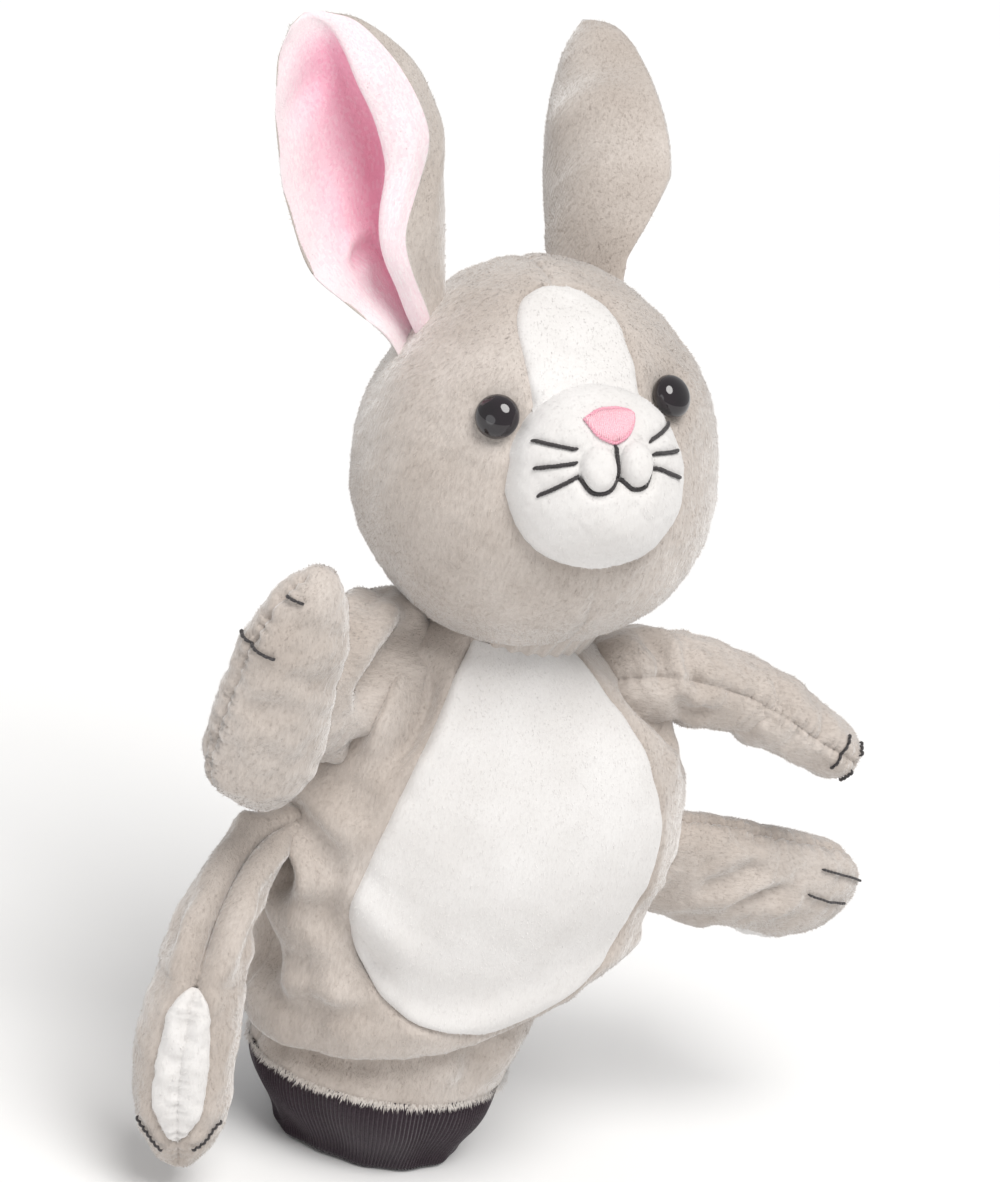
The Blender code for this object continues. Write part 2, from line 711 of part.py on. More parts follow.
LEGS = {
    "left": {
        "hip": (64, -2, 97),
        "spine": [(68, -2, 96), (82, 0, 93.5), (100, 4, 89.5), (121, 11, 84), (145, 22, 78)],
        "wide": [9.5, 15.5, 17.5, 17.5, 16],
        "deep": [4.6, 9, 13, 13, 11],
        "across": Vector((0.25, -0.3, 0.92)),
        "claws": [(1.25, 0.80, 1.25, 0.95), (1.75, 0.78, 1.75, 0.93)],
    },
    "right": {
        "hip": (-60, -8, 100),
        "spine": [(-64, -12, 97), (-73, -22, 84), (-77, -29, 60), (-76, -33, 35), (-72, -36, 9)],
        "wide": [10, 14, 16, 17, 15],
        "deep": [4.6, 9, 13, 14, 12],
        "across": AWAY,
        "claws": [(2.1, 0.80, 2.1, 0.94), (4.2, 0.80, 4.2, 0.94)],
    },
}


def make_arm(side, panels, lining_tube, trunk_core, grey, lining, black):
    """An armhole, a short sleeve, a mitten-shaped paw and the finger stall that runs through all three."""
    arm = ARMS[side]
    shoulder, elbow = arm["shoulder"], arm["elbow"]
    hang = joint_frame(f"shoulder_joint_{side}", shoulder)
    bend = joint_frame(f"elbow_joint_{side}", to_local([elbow], shoulder)[0], hang)
    across = arm["across"]
    sleeve = limb_surface(to_local(arm["sleeve"], shoulder), arm["sleeve_wide"], arm["sleeve_deep"], across)
    tube_of_sleeve = tube(f"arm_{side}_sleeve", sleeve, steps_between(0.0, 1.0, 6), 16, PLUSH, grey, hang)
    cut(tube_of_sleeve, trunk_core)
    stall = limb_surface(to_local(arm["stall"], shoulder), arm["stall_wide"], arm["stall_deep"], across)
    tube(f"arm_{side}_finger_stall", stall, steps_between(0.0, 1.0, 9), 12, LINING, lining, hang, closed_end=True)
    armhole = filled(
        f"armhole_{side}", limb_surface(to_local(arm["stall"], shoulder), [ARMHOLE_RADIUS / MM] * 5, [ARMHOLE_RADIUS / MM] * 5, across),
        steps_between(-0.1, 0.35, 3), 16, 0.0, lining, hang,
    )
    for target in (*panels[side], lining_tube):
        cut(target, armhole)
    paw = limb_surface(to_local(arm["paw"], elbow), arm["paw_wide"], arm["paw_deep"], across, arm["paw_tip"], arm["paw_heel"])
    rows = mitten_rows(arm["paw_tip"], arm["paw_heel"])
    sides = make_mitten(f"arm_{side}_paw", paw, rows, grey, bend)
    make_claws(f"arm_{side}", paw, arm["claws"], black, bend)
    if arm["paw_heel"]:
        wide = [width + 1.6 for width in arm["sleeve_wide"]]
        deep = [depth + 1.6 for depth in arm["sleeve_deep"]]
        opening = filled(
            f"sleeve_hole_{side}", limb_surface(to_local(arm["sleeve"], shoulder), wide, deep, across),
            steps_between(0.5, 1.4, 5), 16, 0.0, lining, hang,
        )
        for target in sides:
            cut(target, opening)


def make_leg(side, grey, white, fill, black):
    leg = LEGS[side]
    joint = joint_frame(f"hip_joint_{side}", leg["hip"])
    surface = limb_surface(to_local(leg["spine"], leg["hip"]), leg["wide"], leg["deep"], leg["across"], 0.22)
    rows = mitten_rows(0.22, 0.0, [SOLE_START, SOLE_START + 0.03, SOLE_START + 0.08])
    make_mitten(f"leg_{side}", surface, rows, grey, joint, white)
    inner_rows = [row for row in rows if 0.1 < row < 0.97]
    filled(f"leg_{side}_stuffing", surface, inner_rows, 12, PLUSH + SEAM * 3, fill, joint)
    make_claws(f"leg_{side}", surface, leg["claws"], black, joint)


def make_claws(prefix, surface, places, black, parent):
    """Short stitches near the end of a paw. Each place is (u from, v from, u to, v to)."""
    for number, (u0, v0, u1, v1) in enumerate(places):
        points = []
        for share in steps_between(0.0, 1.0, 4):
            u, v = u0 + (u1 - u0) * share, v0 + (v1 - v0) * share
            points.append(surface(u, v) + normal_of(surface, u, v) * (THREAD + SEAM))
        thread(f"{prefix}_claw_{number + 1}", points, THREAD, 6, black, parent)


def main():
    clear_scene()
    grey = material("grey_plush", (0.55, 0.50, 0.47), 0.95)
    white = material("white_plush", (0.90, 0.88, 0.87), 0.95)
    pink = material("pink_plush", (0.90, 0.45, 0.55), 0.95)
    nose_pink = material("pink_thread", (0.92, 0.62, 0.68), 0.5)
    knit = material("dark_knit", (0.035, 0.025, 0.03), 0.9)
    black = material("black_plastic", (0.01, 0.008, 0.01), 0.12)
    black_thread = material("black_thread", (0.03, 0.03, 0.03), 0.7)
    clear = material("washer_plastic", (0.85, 0.85, 0.82), 0.4)
    fill = material("fibre_fill", (0.93, 0.93, 0.92), 1.0)
    lining = material("lining_tricot", (0.80, 0.79, 0.78), 0.85)

    panels, lining_tube, trunk_core = make_trunk(grey, white, knit, lining)
    pivot = HEAD_CENTRE - HEAD_TURN.to_matrix() @ Vector((0, 0, NECK_DROP))
    neck = empty("neck_joint", pivot, HEAD_TURN)
    head = empty("head_centre", (0, 0, NECK_DROP), (0, 0, 0), neck)
    make_head(head, grey, white, nose_pink, black_thread, black, clear, fill)
    make_neck(neck, grey, lining)
    for side, place in EARS.items():
        joint = empty(f"ear_joint_{side}", Vector(place["base"]) * MM, Euler([radians(a) for a in place["turn"]]), head)
        make_ear(side, joint, place["bow"] * MM, grey, pink)
    for side in ("left", "right"):
        make_arm(side, panels, lining_tube, trunk_core, grey, lining, black_thread)
        make_leg(side, grey, white, fill, black_thread)


main()
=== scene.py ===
"""The looks of the rabbit hand puppet: plush skins, seams, embroidery and a knitted cuff over the frame.

Shapes are worked out in mm in the frame's axes: +Z up, the rabbit faces -Y and its left side is at +X.
"""

from math import cos, pi, radians, sin

import bmesh
import bpy
import numpy as np
from mathutils import Euler, Matrix, Vector


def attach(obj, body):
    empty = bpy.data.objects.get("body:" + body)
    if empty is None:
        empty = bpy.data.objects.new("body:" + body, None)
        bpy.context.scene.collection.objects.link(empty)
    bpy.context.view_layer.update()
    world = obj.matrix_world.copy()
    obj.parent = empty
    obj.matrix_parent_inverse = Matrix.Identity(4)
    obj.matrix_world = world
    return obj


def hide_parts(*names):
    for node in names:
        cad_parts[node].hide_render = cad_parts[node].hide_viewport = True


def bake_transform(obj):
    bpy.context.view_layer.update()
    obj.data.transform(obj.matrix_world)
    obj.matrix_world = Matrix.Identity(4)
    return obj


MM = 0.001

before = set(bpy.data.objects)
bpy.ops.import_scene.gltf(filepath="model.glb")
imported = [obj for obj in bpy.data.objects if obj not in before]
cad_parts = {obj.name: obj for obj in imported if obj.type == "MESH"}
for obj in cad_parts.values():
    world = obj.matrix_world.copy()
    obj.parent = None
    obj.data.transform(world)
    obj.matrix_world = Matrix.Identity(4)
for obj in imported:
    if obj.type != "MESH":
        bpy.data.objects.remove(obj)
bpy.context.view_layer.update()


# Numbers that repeat the part's own dimensions, in mm and radians

CUFF_HEIGHT, TRUNK_TOP, BELLY_BOTTOM, BELLY_ROUNDING = 27.0, 163.0, 57.0, 34.0
BELLY_HALF_ANGLE, BELLY_NARROWING = radians(47), 0.18
# Height, then the middle's x and y, half width and half depth
TRUNK_SECTIONS = [
    (27, -4, 0, 39, 31),
    (42, -4, 0, 41, 33),
    (60, -3, -1, 46, 36),
    (78, 0, -2, 56, 40),
    (100, 4, -3, 61, 42),
    (125, 5, -3, 59, 41),
    (145, 3, -2, 49, 36),
    (163, -3, 0, 31, 27),
]
HEAD_RADII = np.array((50.5, 47.0, 54.0))
HEAD_EGG = 0.10
HEAD_CENTRE = np.array((-8.5, 0.0, 218.5))
HEAD_TURN = np.array(Euler((radians(-13), radians(-13), radians(1))).to_matrix())
MUZZLE_LATITUDE = radians(1.5)
MUZZLE_RADIUS, MUZZLE_HEIGHT = 26.5, 14.0
MUZZLE_REACH = MUZZLE_RADIUS * 0.98
BLAZE_TOP, BLAZE_LENGTH, BLAZE_HALF_WIDTH = radians(65), radians(47), 17.0
EYE_RADIUS = 6.0
EYE_LONGITUDE, EYE_LATITUDE = radians(32.5), radians(20)
SOLE_START, SOLE_END, SOLE_HALF_ANGLE = 0.56, 0.91, radians(36)
EAR_LENGTH = 84.0
LEFT_EAR_TOP = 0.965 * EAR_LENGTH
# Each ear's root in the head's own frame, and its turn in degrees
EARS = {
    "left": ((27.4, 10.4, 46.9), (35, 24, 133)),
    "right": ((-34.3, 2.0, 43.0), (0, -17, 10)),
}
# Directions across the limbs: away from the viewer, and back to the left
AWAY = np.array((0.42, 0.83, -0.36))
BACK_LEFT = np.array((0.93, 0.24, 0.15))
SIDES = (("left", 1), ("right", -1))

# Numbers of the soft parts: mm per radian round the trunk's front and round a leg, and a leg's length
TRUNK_TURN, LEG_TURN, LEG_RUN = 52, 15, 110
BODY_FOLD_DEPTH = 1.9
PATCH_GROOVE, PATCH_ROUNDING = 1.2, 1.3
TUFT_HALF_WIDTH, TUFT_SUNK, TUFT_LEAN = 0.12, 0.15, 0.5
STRAND_SIDES, STRAND_TAPER = 6, 0.35
CLAW_PITCH, CLAW_LIFT = 1.7, 0.75
LINE_REACH, PUCKER_PITCH, LIMB_WOBBLE = 16.0, 3.2, 0.4


# Arithmetic on arrays of points

def smooth(values, t):
    """Catmull-Rom through evenly spaced values, for an array of t from 0 to 1, going on past both ends."""
    values = np.asarray(values, float)
    spans = len(values) - 1
    t = np.asarray(t, float)
    i = np.clip((t * spans).astype(int), 0, spans - 1)
    f = t * spans - i
    if values.ndim > 1:
        f = f[..., None]
    ends = np.concatenate([[2 * values[0] - values[1]], values, [2 * values[-1] - values[-2]]])
    a, b, c, d = (ends[i + k] for k in range(4))
    square, cube = 2 * a - 5 * b + 4 * c - d, 3 * b - a - 3 * c + d
    return 0.5 * (2 * b + (c - a) * f + square * f**2 + cube * f**3)


def ramp(x, low, high):
    t = np.clip((np.asarray(x, float) - low) / (high - low), 0, 1)
    return t * t * (3 - 2 * t)


def bump(x, width):
    return np.exp(-(np.asarray(x) / width) ** 2)


def around(count):
    """count angles round a whole turn."""
    return np.linspace(0, 2 * pi, count, endpoint=False)


def run_along(line):
    """How far along a line each of its points is."""
    return np.concatenate([[0], np.cumsum(np.linalg.norm(np.diff(line, axis=0), axis=1))])


def through(places, count=40):
    """count points on a smooth line through places."""
    return smooth(np.array(places, float), np.linspace(0, 1, count))


def unit(v):
    return v / np.maximum(np.linalg.norm(v, axis=-1, keepdims=True), 1e-9)


def normals(grid, wrap):
    """Unit normals of a grid of points, outward where columns run anticlockwise and rows run up."""
    across = np.roll(grid, -1, 1) - np.roll(grid, 1, 1) if wrap else np.gradient(grid, axis=1)
    return unit(np.cross(across, np.gradient(grid, axis=0)))


def ripple(points, size, seed, octaves=2):
    """Smooth noise of about unit height with features about size mm across."""
    rng = np.random.default_rng(seed)
    total = np.zeros(points.shape[:-1])
    for octave in range(octaves):
        for _ in range(7):
            direction = unit(rng.normal(size=3))
            rate = 2 * pi / size * 2**octave * rng.uniform(0.6, 1.3)
            total += np.sin(points @ direction * rate + rng.uniform(0, 2 * pi)) * 0.55**octave
    return total / 2.6


def near_line(points, line):
    """Each point's distance to a line, and its place along that line from 0 to 1."""
    flat = points.reshape(-1, 3)
    distance, along = np.full(len(flat), 1e3), np.zeros(len(flat))
    low, high = line.min(0) - LINE_REACH, line.max(0) + LINE_REACH
    close = np.flatnonzero(((flat > low) & (flat < high)).all(1))
    spots, best, place = flat[close], distance[close], along[close]
    for k, (a, b) in enumerate(zip(line, line[1:])):
        ab = b - a
        t = np.clip((spots - a) @ ab / max(ab @ ab, 1e-9), 0, 1)
        d = np.linalg.norm(spots - a - t[:, None] * ab, axis=1)
        nearer = d < best
        best[nearer], place[nearer] = d[nearer], (k + t[nearer]) / (len(line) - 1)
    distance[close], along[close] = best, place
    return distance.reshape(points.shape[:-1]), along.reshape(points.shape[:-1])


def fold(points, line, depth, width, lip=0.35):
    """A soft valley along a line, or a ridge for a negative depth, fading out at its ends."""
    d, s = near_line(points, line)
    fade = ramp(np.minimum(s, 1 - s), 0.0, 0.3)
    return fade * depth * (lip * bump(d - 2.2 * width, width) - bump(d, width))


def seam(points, line, depth, width, pucker):
    """A sewn line: a narrow valley, with small puckers pulled in across it."""
    d, s = near_line(points, line)
    run = s * np.linalg.norm(np.diff(line, axis=0), axis=1).sum()
    wave = 0.5 + 0.5 * np.sin(2 * pi * run / PUCKER_PITCH + 1.9 * np.sin(run * 0.7))
    return -depth * np.exp(-d / width) - pucker * bump(d, 3.4) * wave


# Meshes

def grid_faces(rows, columns, wrap):
    """Faces between a grid's points. wrap joins its last column to its first."""
    i, j = np.meshgrid(np.arange(rows - 1), np.arange(columns if wrap else columns - 1), indexing="ij")
    a, b = i * columns + j, i * columns + (j + 1) % columns
    return np.stack([a, b, b + columns, a + columns], -1).reshape(-1, 4)


def added(name, data):
    """A new object that the scene holds."""
    made = bpy.data.objects.new(name, data)
    bpy.context.collection.objects.link(made)
    return made


def mesh_piece(name, parts, finishes, weld=False):
    """A named object from parts: points in mm, faces and a finish number. weld joins parts that meet."""
    points, faces, numbers = [], [], []
    for part_points, part_faces, number in parts:
        faces += (part_faces + sum(map(len, points))).tolist()
        points.append(part_points.reshape(-1, 3))
        numbers.append(np.broadcast_to(number, len(part_faces)))
    mesh = bpy.data.meshes.new(name)
    mesh.from_pydata((np.concatenate(points) * MM).tolist(), [], faces)
    for finish in finishes:
        mesh.materials.append(finish)
    mesh.polygons.foreach_set("material_index", np.concatenate(numbers).astype(np.int32))
    if weld:
        joined = bmesh.new()
        joined.from_mesh(mesh)
        bmesh.ops.remove_doubles(joined, verts=joined.verts, dist=1e-6)
        joined.to_mesh(mesh)
        joined.free()
    mesh.shade_smooth()
    mesh.update()
    return added(name, mesh)


def grid_part(grid, wrap, number=0):
    return grid, grid_faces(*grid.shape[:2], wrap), number


def grid_piece(name, grid, finish, wrap=True):
    return mesh_piece(name, [grid_part(grid, wrap)], [finish])


def pile_part(grid, wrap, nap, per_mm2, length, seed, number=0, keep=None):
    """Short tufts over a grid of points, combed along nap. keep(points) says where they grow.

    number is a finish, or works one out from places up and across the grid.
    """
    rng = np.random.default_rng(seed)
    lay = normals(grid, wrap)
    if wrap:
        grid, lay = (np.concatenate([a, a[:, :1]], 1) for a in (grid, lay))
    a, b, c, d = grid[:-1, :-1], grid[:-1, 1:], grid[1:, 1:], grid[1:, :-1]
    area = np.linalg.norm(np.cross(c - a, d - b), axis=-1).ravel() / 2
    count = int(area.sum() * per_mm2)
    cell = rng.choice(len(area), count, p=area / area.sum())
    i, j = np.divmod(cell, grid.shape[1] - 1)
    s, t = rng.random((2, count, 1))

    def mixed(values):
        low = values[i, j] * (1 - s) + values[i, j + 1] * s
        high = values[i + 1, j] * (1 - s) + values[i + 1, j + 1] * s
        return low * (1 - t) + high * t

    root, up = mixed(grid), unit(mixed(lay))
    sway = np.stack([ripple(root, 22, seed + k) for k in range(3)], -1) * 0.35
    comb = np.asarray(nap, float) + sway + rng.normal(size=root.shape) * 0.30
    comb = unit(comb - up * (comb * up).sum(-1, keepdims=True))
    side = np.cross(up, comb)
    rise = TUFT_LEAN * rng.uniform(0.6, 1.4, (count, 1))
    reach = length * rng.uniform(0.6, 1.25, (count, 1))
    tip = root + (comb + up * rise) * reach / np.sqrt(1 + rise**2)
    half = side * TUFT_HALF_WIDTH * rng.uniform(0.7, 1.3, (count, 1))
    root = root - up * TUFT_SUNK
    points = np.stack([root - half, root + half, tip], 1)
    if callable(number):
        number = number(i / (grid.shape[0] - 1), j / (grid.shape[1] - 1))
    number = np.broadcast_to(number, count)
    if keep is not None:
        kept = keep(root)
        points, number = points[kept], number[kept]
    return points.reshape(-1, 3), np.arange(len(points) * 3).reshape(-1, 3), number


def strand(points, radius, number=0):
    """A round cord along the points, thinner at its ends."""
    along = unit(np.gradient(points, axis=0))
    side = unit(np.cross(along, (0.3, 0.2, 0.9)))
    up = np.cross(along, side)
    run = np.linspace(0, 1, len(points))
    swell = np.sqrt(np.clip(1 - (2 * run - 1) ** 4, 0, 1))
    size = radius * (STRAND_TAPER + (1 - STRAND_TAPER) * swell)[:, None, None]
    angle = around(STRAND_SIDES)
    ring = side[:, None] * np.cos(angle)[None, :, None] + up[:, None] * np.sin(angle)[None, :, None]
    return grid_part(points[:, None] + ring * size, True, number)


def strands_piece(name, lines, radius, finish):
    return mesh_piece(name, [strand(line, radius) for line in lines], [finish])


# Materials

EVEN = (1, 1, 1)


def node(tree, kind, **values):
    """A new node with these inputs or settings."""
    made = tree.nodes.new(kind)
    for key, value in values.items():
        if key in made.inputs:
            made.inputs[key].default_value = value
        else:
            setattr(made, key, value)
    return made


def started(name):
    made = bpy.data.materials.new(name)
    made.use_nodes = True
    return made, made.node_tree


def noise(tree, stretch, size, detail, roughness):
    """Noise with grains size mm across, times stretch along each axis."""
    place = node(tree, "ShaderNodeTexCoord")
    mapping = node(tree, "ShaderNodeMapping", Scale=[1000.0 / (size * s) for s in stretch])
    made = node(tree, "ShaderNodeTexNoise", Scale=1.0, Detail=detail, Roughness=roughness)
    tree.links.new(place.outputs["Object"], mapping.inputs["Vector"])
    tree.links.new(mapping.outputs["Vector"], made.inputs["Vector"])
    return made.outputs["Fac"]


def colour_mix(tree, factor, low, high):
    mixed = node(tree, "ShaderNodeValToRGB")
    for stop, colour, place in zip(mixed.color_ramp.elements, (low, high), (0.32, 0.68)):
        stop.color, stop.position = (*colour, 1), place
    tree.links.new(factor, mixed.inputs["Fac"])
    return mixed.outputs["Color"]


def blended(tree, factor, first, second, amount):
    """first with amount of second mixed in where factor is high."""
    scaled = node(tree, "ShaderNodeMath", operation="MULTIPLY")
    scaled.inputs[1].default_value = amount
    tree.links.new(factor, scaled.inputs[0])
    mixed = node(tree, "ShaderNodeMix", data_type="RGBA")
    tree.links.new(scaled.outputs[0], mixed.inputs[0])
    tree.links.new(first, mixed.inputs[6])
    mixed.inputs[7].default_value = (*second, 1)
    return mixed.outputs[2]


def completed(made, colour, height, strength, depth, values):
    """The material with its colour, a relief depth mm deep, and the shader's other values."""
    tree = made.node_tree
    shader = tree.nodes["Principled BSDF"]
    tree.links.new(colour, shader.inputs["Base Color"])
    if depth:
        relief = node(tree, "ShaderNodeBump", Strength=strength, Distance=depth * MM)
        tree.links.new(height, relief.inputs["Height"])
        tree.links.new(relief.outputs["Normal"], shader.inputs["Normal"])
    for key, value in values.items():
        shader.inputs[key].default_value = value
    return made


def plush(name, dark, light, deep, stretch, bumpy=0.4, sheen=1.0, streaky=0.26):
    """Short-pile plush: combed streaks, brushed patches, shade between the tufts and a soft sheen."""
    made, tree = started(name)
    streaks = noise(tree, stretch, 0.9, 3.0, 0.6)
    patches = noise(tree, EVEN, 26.0, 2.0, 0.5)
    tufts = noise(tree, stretch, 0.42, 2.0, 0.7)
    shade = node(tree, "ShaderNodeMapRange", **{"From Min": 0.62, "From Max": 0.35})
    tree.links.new(streaks, shade.inputs["Value"])
    height = node(tree, "ShaderNodeMath", operation="MULTIPLY_ADD")
    height.inputs[1].default_value = 0.5
    tree.links.new(tufts, height.inputs[0])
    tree.links.new(streaks, height.inputs[2])
    colour = blended(tree, shade.outputs["Result"], colour_mix(tree, patches, dark, light), deep, streaky)
    return completed(made, colour, height.outputs[0], bumpy, 1.2, {
        "Roughness": 0.96, "Specular IOR Level": 0.15, "Sheen Weight": sheen, "Sheen Roughness": 0.42,
    })


def knit(name, dark, light):
    """The dark rib knit, whose ribs are in its mesh: small loops and a little fluff."""
    made, tree = started(name)
    loops = noise(tree, (1, 1, 0.8), 0.55, 3.0, 0.65)
    fluff = noise(tree, EVEN, 7.0, 4.0, 0.7)
    colour = blended(tree, fluff, colour_mix(tree, loops, dark, light), light, 0.3)
    return completed(made, colour, loops, 0.6, 0.4, {
        "Roughness": 0.9, "Specular IOR Level": 0.2, "Sheen Weight": 0.25, "Sheen Roughness": 0.5,
    })


def mottled(name, dark, light, rough, size, depth=0.0, detail=3.0, grain=0.55, **values):
    """Moulded plastic, smooth cloth or thread, with mottling size mm across and depth mm deep."""
    made, tree = started(name)
    cloud = noise(tree, EVEN, size, detail, grain)
    values = {"Roughness": rough, "Coat Roughness": 0.03, **values}
    return completed(made, colour_mix(tree, cloud, dark, light), cloud, 0.5, depth, values)


def thread(name, dark, light, rough, sheen):
    """Stranded embroidery thread."""
    return mottled(name, dark, light, rough, 0.35, 0.2, 2.0, 0.6, **{"Sheen Weight": sheen})


GREY = dict(dark=(0.50, 0.44, 0.395), light=(0.63, 0.57, 0.525), deep=(0.33, 0.285, 0.25))
WHITE = dict(dark=(0.72, 0.70, 0.685), light=(0.79, 0.775, 0.765), deep=(0.58, 0.55, 0.53))
grey_down = plush("grey_plush", stretch=(1, 1, 3.2), **GREY)
grey_out = plush("grey_plush_limb", stretch=(3.0, 1, 1), **GREY)
grey_pale = plush("grey_plush_edge", (0.66, 0.61, 0.57), (0.76, 0.72, 0.68), (0.46, 0.41, 0.37), (1, 1, 3))
white_down = plush("white_plush", stretch=(1, 1, 2.6), bumpy=0.16, sheen=0.5, streaky=0.14, **WHITE)
# The ears' pink comes in PINK_STEPS + 1 finishes, from plain pink to pink with painted shade for the ears'
# hollows
PALE_PINK = np.array(((0.88, 0.78, 0.80), (0.91, 0.82, 0.84), (0.82, 0.62, 0.68)))
SHADED_PINK = np.array(((0.85, 0.40, 0.53), (0.87, 0.45, 0.57), (0.75, 0.31, 0.44)))
PINK_STEPS = 6
PINKS = [
    plush(f"pink_plush_{step}", *colours, (1, 1, 1.6), 0.2, 0.6, 0.2)
    for step, colours in enumerate(
        PALE_PINK + (SHADED_PINK - PALE_PINK) * k / PINK_STEPS for k in range(PINK_STEPS + 1)
    )
]
dark_knit = knit("dark_knit", (0.012, 0.006, 0.010), (0.040, 0.024, 0.034))
black_thread = thread("black_thread", (0.010, 0.008, 0.009), (0.055, 0.048, 0.05), 0.6, 0.2)
pink_thread = thread("pink_thread", (0.80, 0.40, 0.48), (0.93, 0.62, 0.68), 0.42, 0.3)
pink_edge_thread = thread("pink_thread_edge", (0.72, 0.27, 0.37), (0.88, 0.46, 0.55), 0.45, 0.3)
black_plastic = mottled(
    "black_plastic", (0.004, 0.002, 0.004), (0.012, 0.006, 0.010), 0.07, 9.0, **{"Coat Weight": 0.6}
)
washer_plastic = mottled("washer_plastic", (0.78, 0.78, 0.74), (0.88, 0.88, 0.85), 0.4, 4.0, 0.05)
fibre_fill = mottled("fibre_fill", (0.82, 0.82, 0.80), (0.95, 0.95, 0.94), 1.0, 2.5, 0.8)
tricot = mottled("lining_tricot", (0.70, 0.69, 0.68), (0.82, 0.81, 0.80), 0.85, 0.8, 0.15)


# White patches let into a grey skin: inside is how far a place is inside the patch's edge

def let_in(inside, depth, low, high, groove):
    """How far the skin sinks under a patch, with a groove along the patch's edge."""
    return depth * ramp(inside, low, high) + groove * np.exp(-np.abs(inside) / PATCH_GROOVE)


def tucked(inside, lift, tuck, rounding=PATCH_ROUNDING):
    """How far a patch stands off, with its edge tucked into the skin."""
    return lift - tuck * np.exp(-np.clip(inside, 0, None) / rounding)


# Pieces on their bodies

def spread(pieces):
    """Pieces with their placing baked into their points."""
    for made in pieces:
        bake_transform(made)


def fixed(body, finish, *pieces):
    """Pieces that ride one body."""
    for made in pieces:
        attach(made, body)


def dressed(name, grid, wrap, finish, nap, seed, per_mm2=1.2, length=1.1, keep=None):
    """A plush skin over a grid of points, and its short pile as a second piece."""
    skin = grid_piece(f"{name}_plush", grid, finish, wrap)
    tufts = pile_part(grid, wrap, nap, per_mm2, length, seed, keep=keep)
    fuzz = mesh_piece(f"{name}_pile", [tufts], [finish])
    return skin, fuzz


# Trunk

def trunk_base(u, height):
    """u is 0 at the middle of the front and grows towards the rabbit's left."""
    rows = np.array(TRUNK_SECTIONS, float)
    i = np.clip(np.searchsorted(rows[:, 0], height, side="right") - 1, 0, len(rows) - 2)
    t = (i + (height - rows[i, 0]) / (rows[i + 1, 0] - rows[i, 0])) / (len(rows) - 1)
    x, y, half_width, half_depth = np.moveaxis(smooth(rows[:, 1:], t), -1, 0)
    close = ramp(height, 158.0, 172.0)
    half_width, half_depth = half_width - 3.0 * close, half_depth - 2.0 * close
    return np.stack([x + half_width * np.sin(u), y - half_depth * np.cos(u), height + 0 * u], -1)


def trunk_line(places, count=40):
    """A line over the trunk through (degrees round, height) places."""
    angles, heights = through(places, count).T
    return trunk_base(np.radians(angles), heights)


def belly_half_angle(height):
    rise = np.asarray(height, float) - BELLY_BOTTOM
    rounded = np.sqrt(np.clip(1 - (1 - np.clip(rise, 0, BELLY_ROUNDING) / BELLY_ROUNDING) ** 2, 0, 1))
    narrowing = 1 - BELLY_NARROWING * np.clip(rise - BELLY_ROUNDING, 0, None) / (TRUNK_TOP - BELLY_BOTTOM)
    return BELLY_HALF_ANGLE * rounded * narrowing


def belly_edge(u, height):
    """About how far a place on the trunk is inside the belly patch, in mm."""
    half = belly_half_angle(height)
    lower = belly_half_angle(np.maximum(height - 0.5, BELLY_BOTTOM))
    slope = (belly_half_angle(height + 0.5) - lower) * TRUNK_TURN
    inside = (half - np.abs(u)) * TRUNK_TURN
    below = np.asarray(height, float) - BELLY_BOTTOM
    return np.where(below < 0, below - np.abs(u) * 20, inside / np.sqrt(1 + slope**2))


# The waist crease, where the stuffed-looking body hangs over the sleeve: degrees round, height
WAIST = [
    (-180, 44), (-135, 38), (-100, 35), (-63, 38), (-40, 41), (-18, 45), (2, 49), (22, 56),
    (45, 67), (70, 75), (110, 70), (150, 54), (180, 44),
]
BODY_FOLDS = [
    # degrees round and height, then depth and width: under the right arm, by the belly, over the hip
    ([(-106, 150), (-95, 141), (-82, 132), (-70, 125)], 3.8, 5.0),
    ([(-60, 164), (-50, 152), (-49, 141), (-54, 130)], 2.4, 3.6),
    ([(-66, 158), (-60, 148), (-58, 138), (-62, 128)], -1.8, 3.2),
    ([(-104, 121), (-82, 115), (-62, 112), (-46, 106)], -1.7, 5.0),
    ([(-98, 102), (-82, 104), (-68, 101), (-61, 93), (-64, 84)], -2.8, 3.4),
    ([(-92, 96), (-80, 94), (-75, 87), (-80, 78)], 3.6, 4.4),
    ([(-66, 88), (-50, 82), (-36, 74), (-24, 66)], 2.2, 5.5),
    ([(-98, 80), (-84, 64), (-82, 48)], 3.0, 5.5),
    ([(-76, 56), (-60, 60), (-44, 62), (-32, 58)], -1.6, 4.6),
    ([(60, 160), (66, 148), (74, 138)], 2.2, 4.0),
    ([(100, 150), (86, 138), (72, 131)], 2.0, 4.4),
    ([(62, 92), (74, 86), (90, 82)], 2.2, 4.4),
    ([(130, 146), (140, 132), (138, 116)], 1.5, 6.0),
    ([(-135, 140), (-146, 124), (-140, 106)], 1.5, 6.0),
    ([(120, 96), (140, 88), (165, 86)], 1.6, 6.0),
    ([(-120, 84), (-140, 80), (-165, 84)], 1.6, 6.0),
    ([(160, 150), (172, 138), (170, 124)], 1.2, 5.0),
    ([(-70, 36), (-68, 32), (-66, 28)], 1.0, 3.0),
    ([(-20, 42), (-24, 35), (-22, 28)], 1.2, 4.0),
    ([(20, 48), (24, 38), (22, 28)], 1.3, 5.0),
]


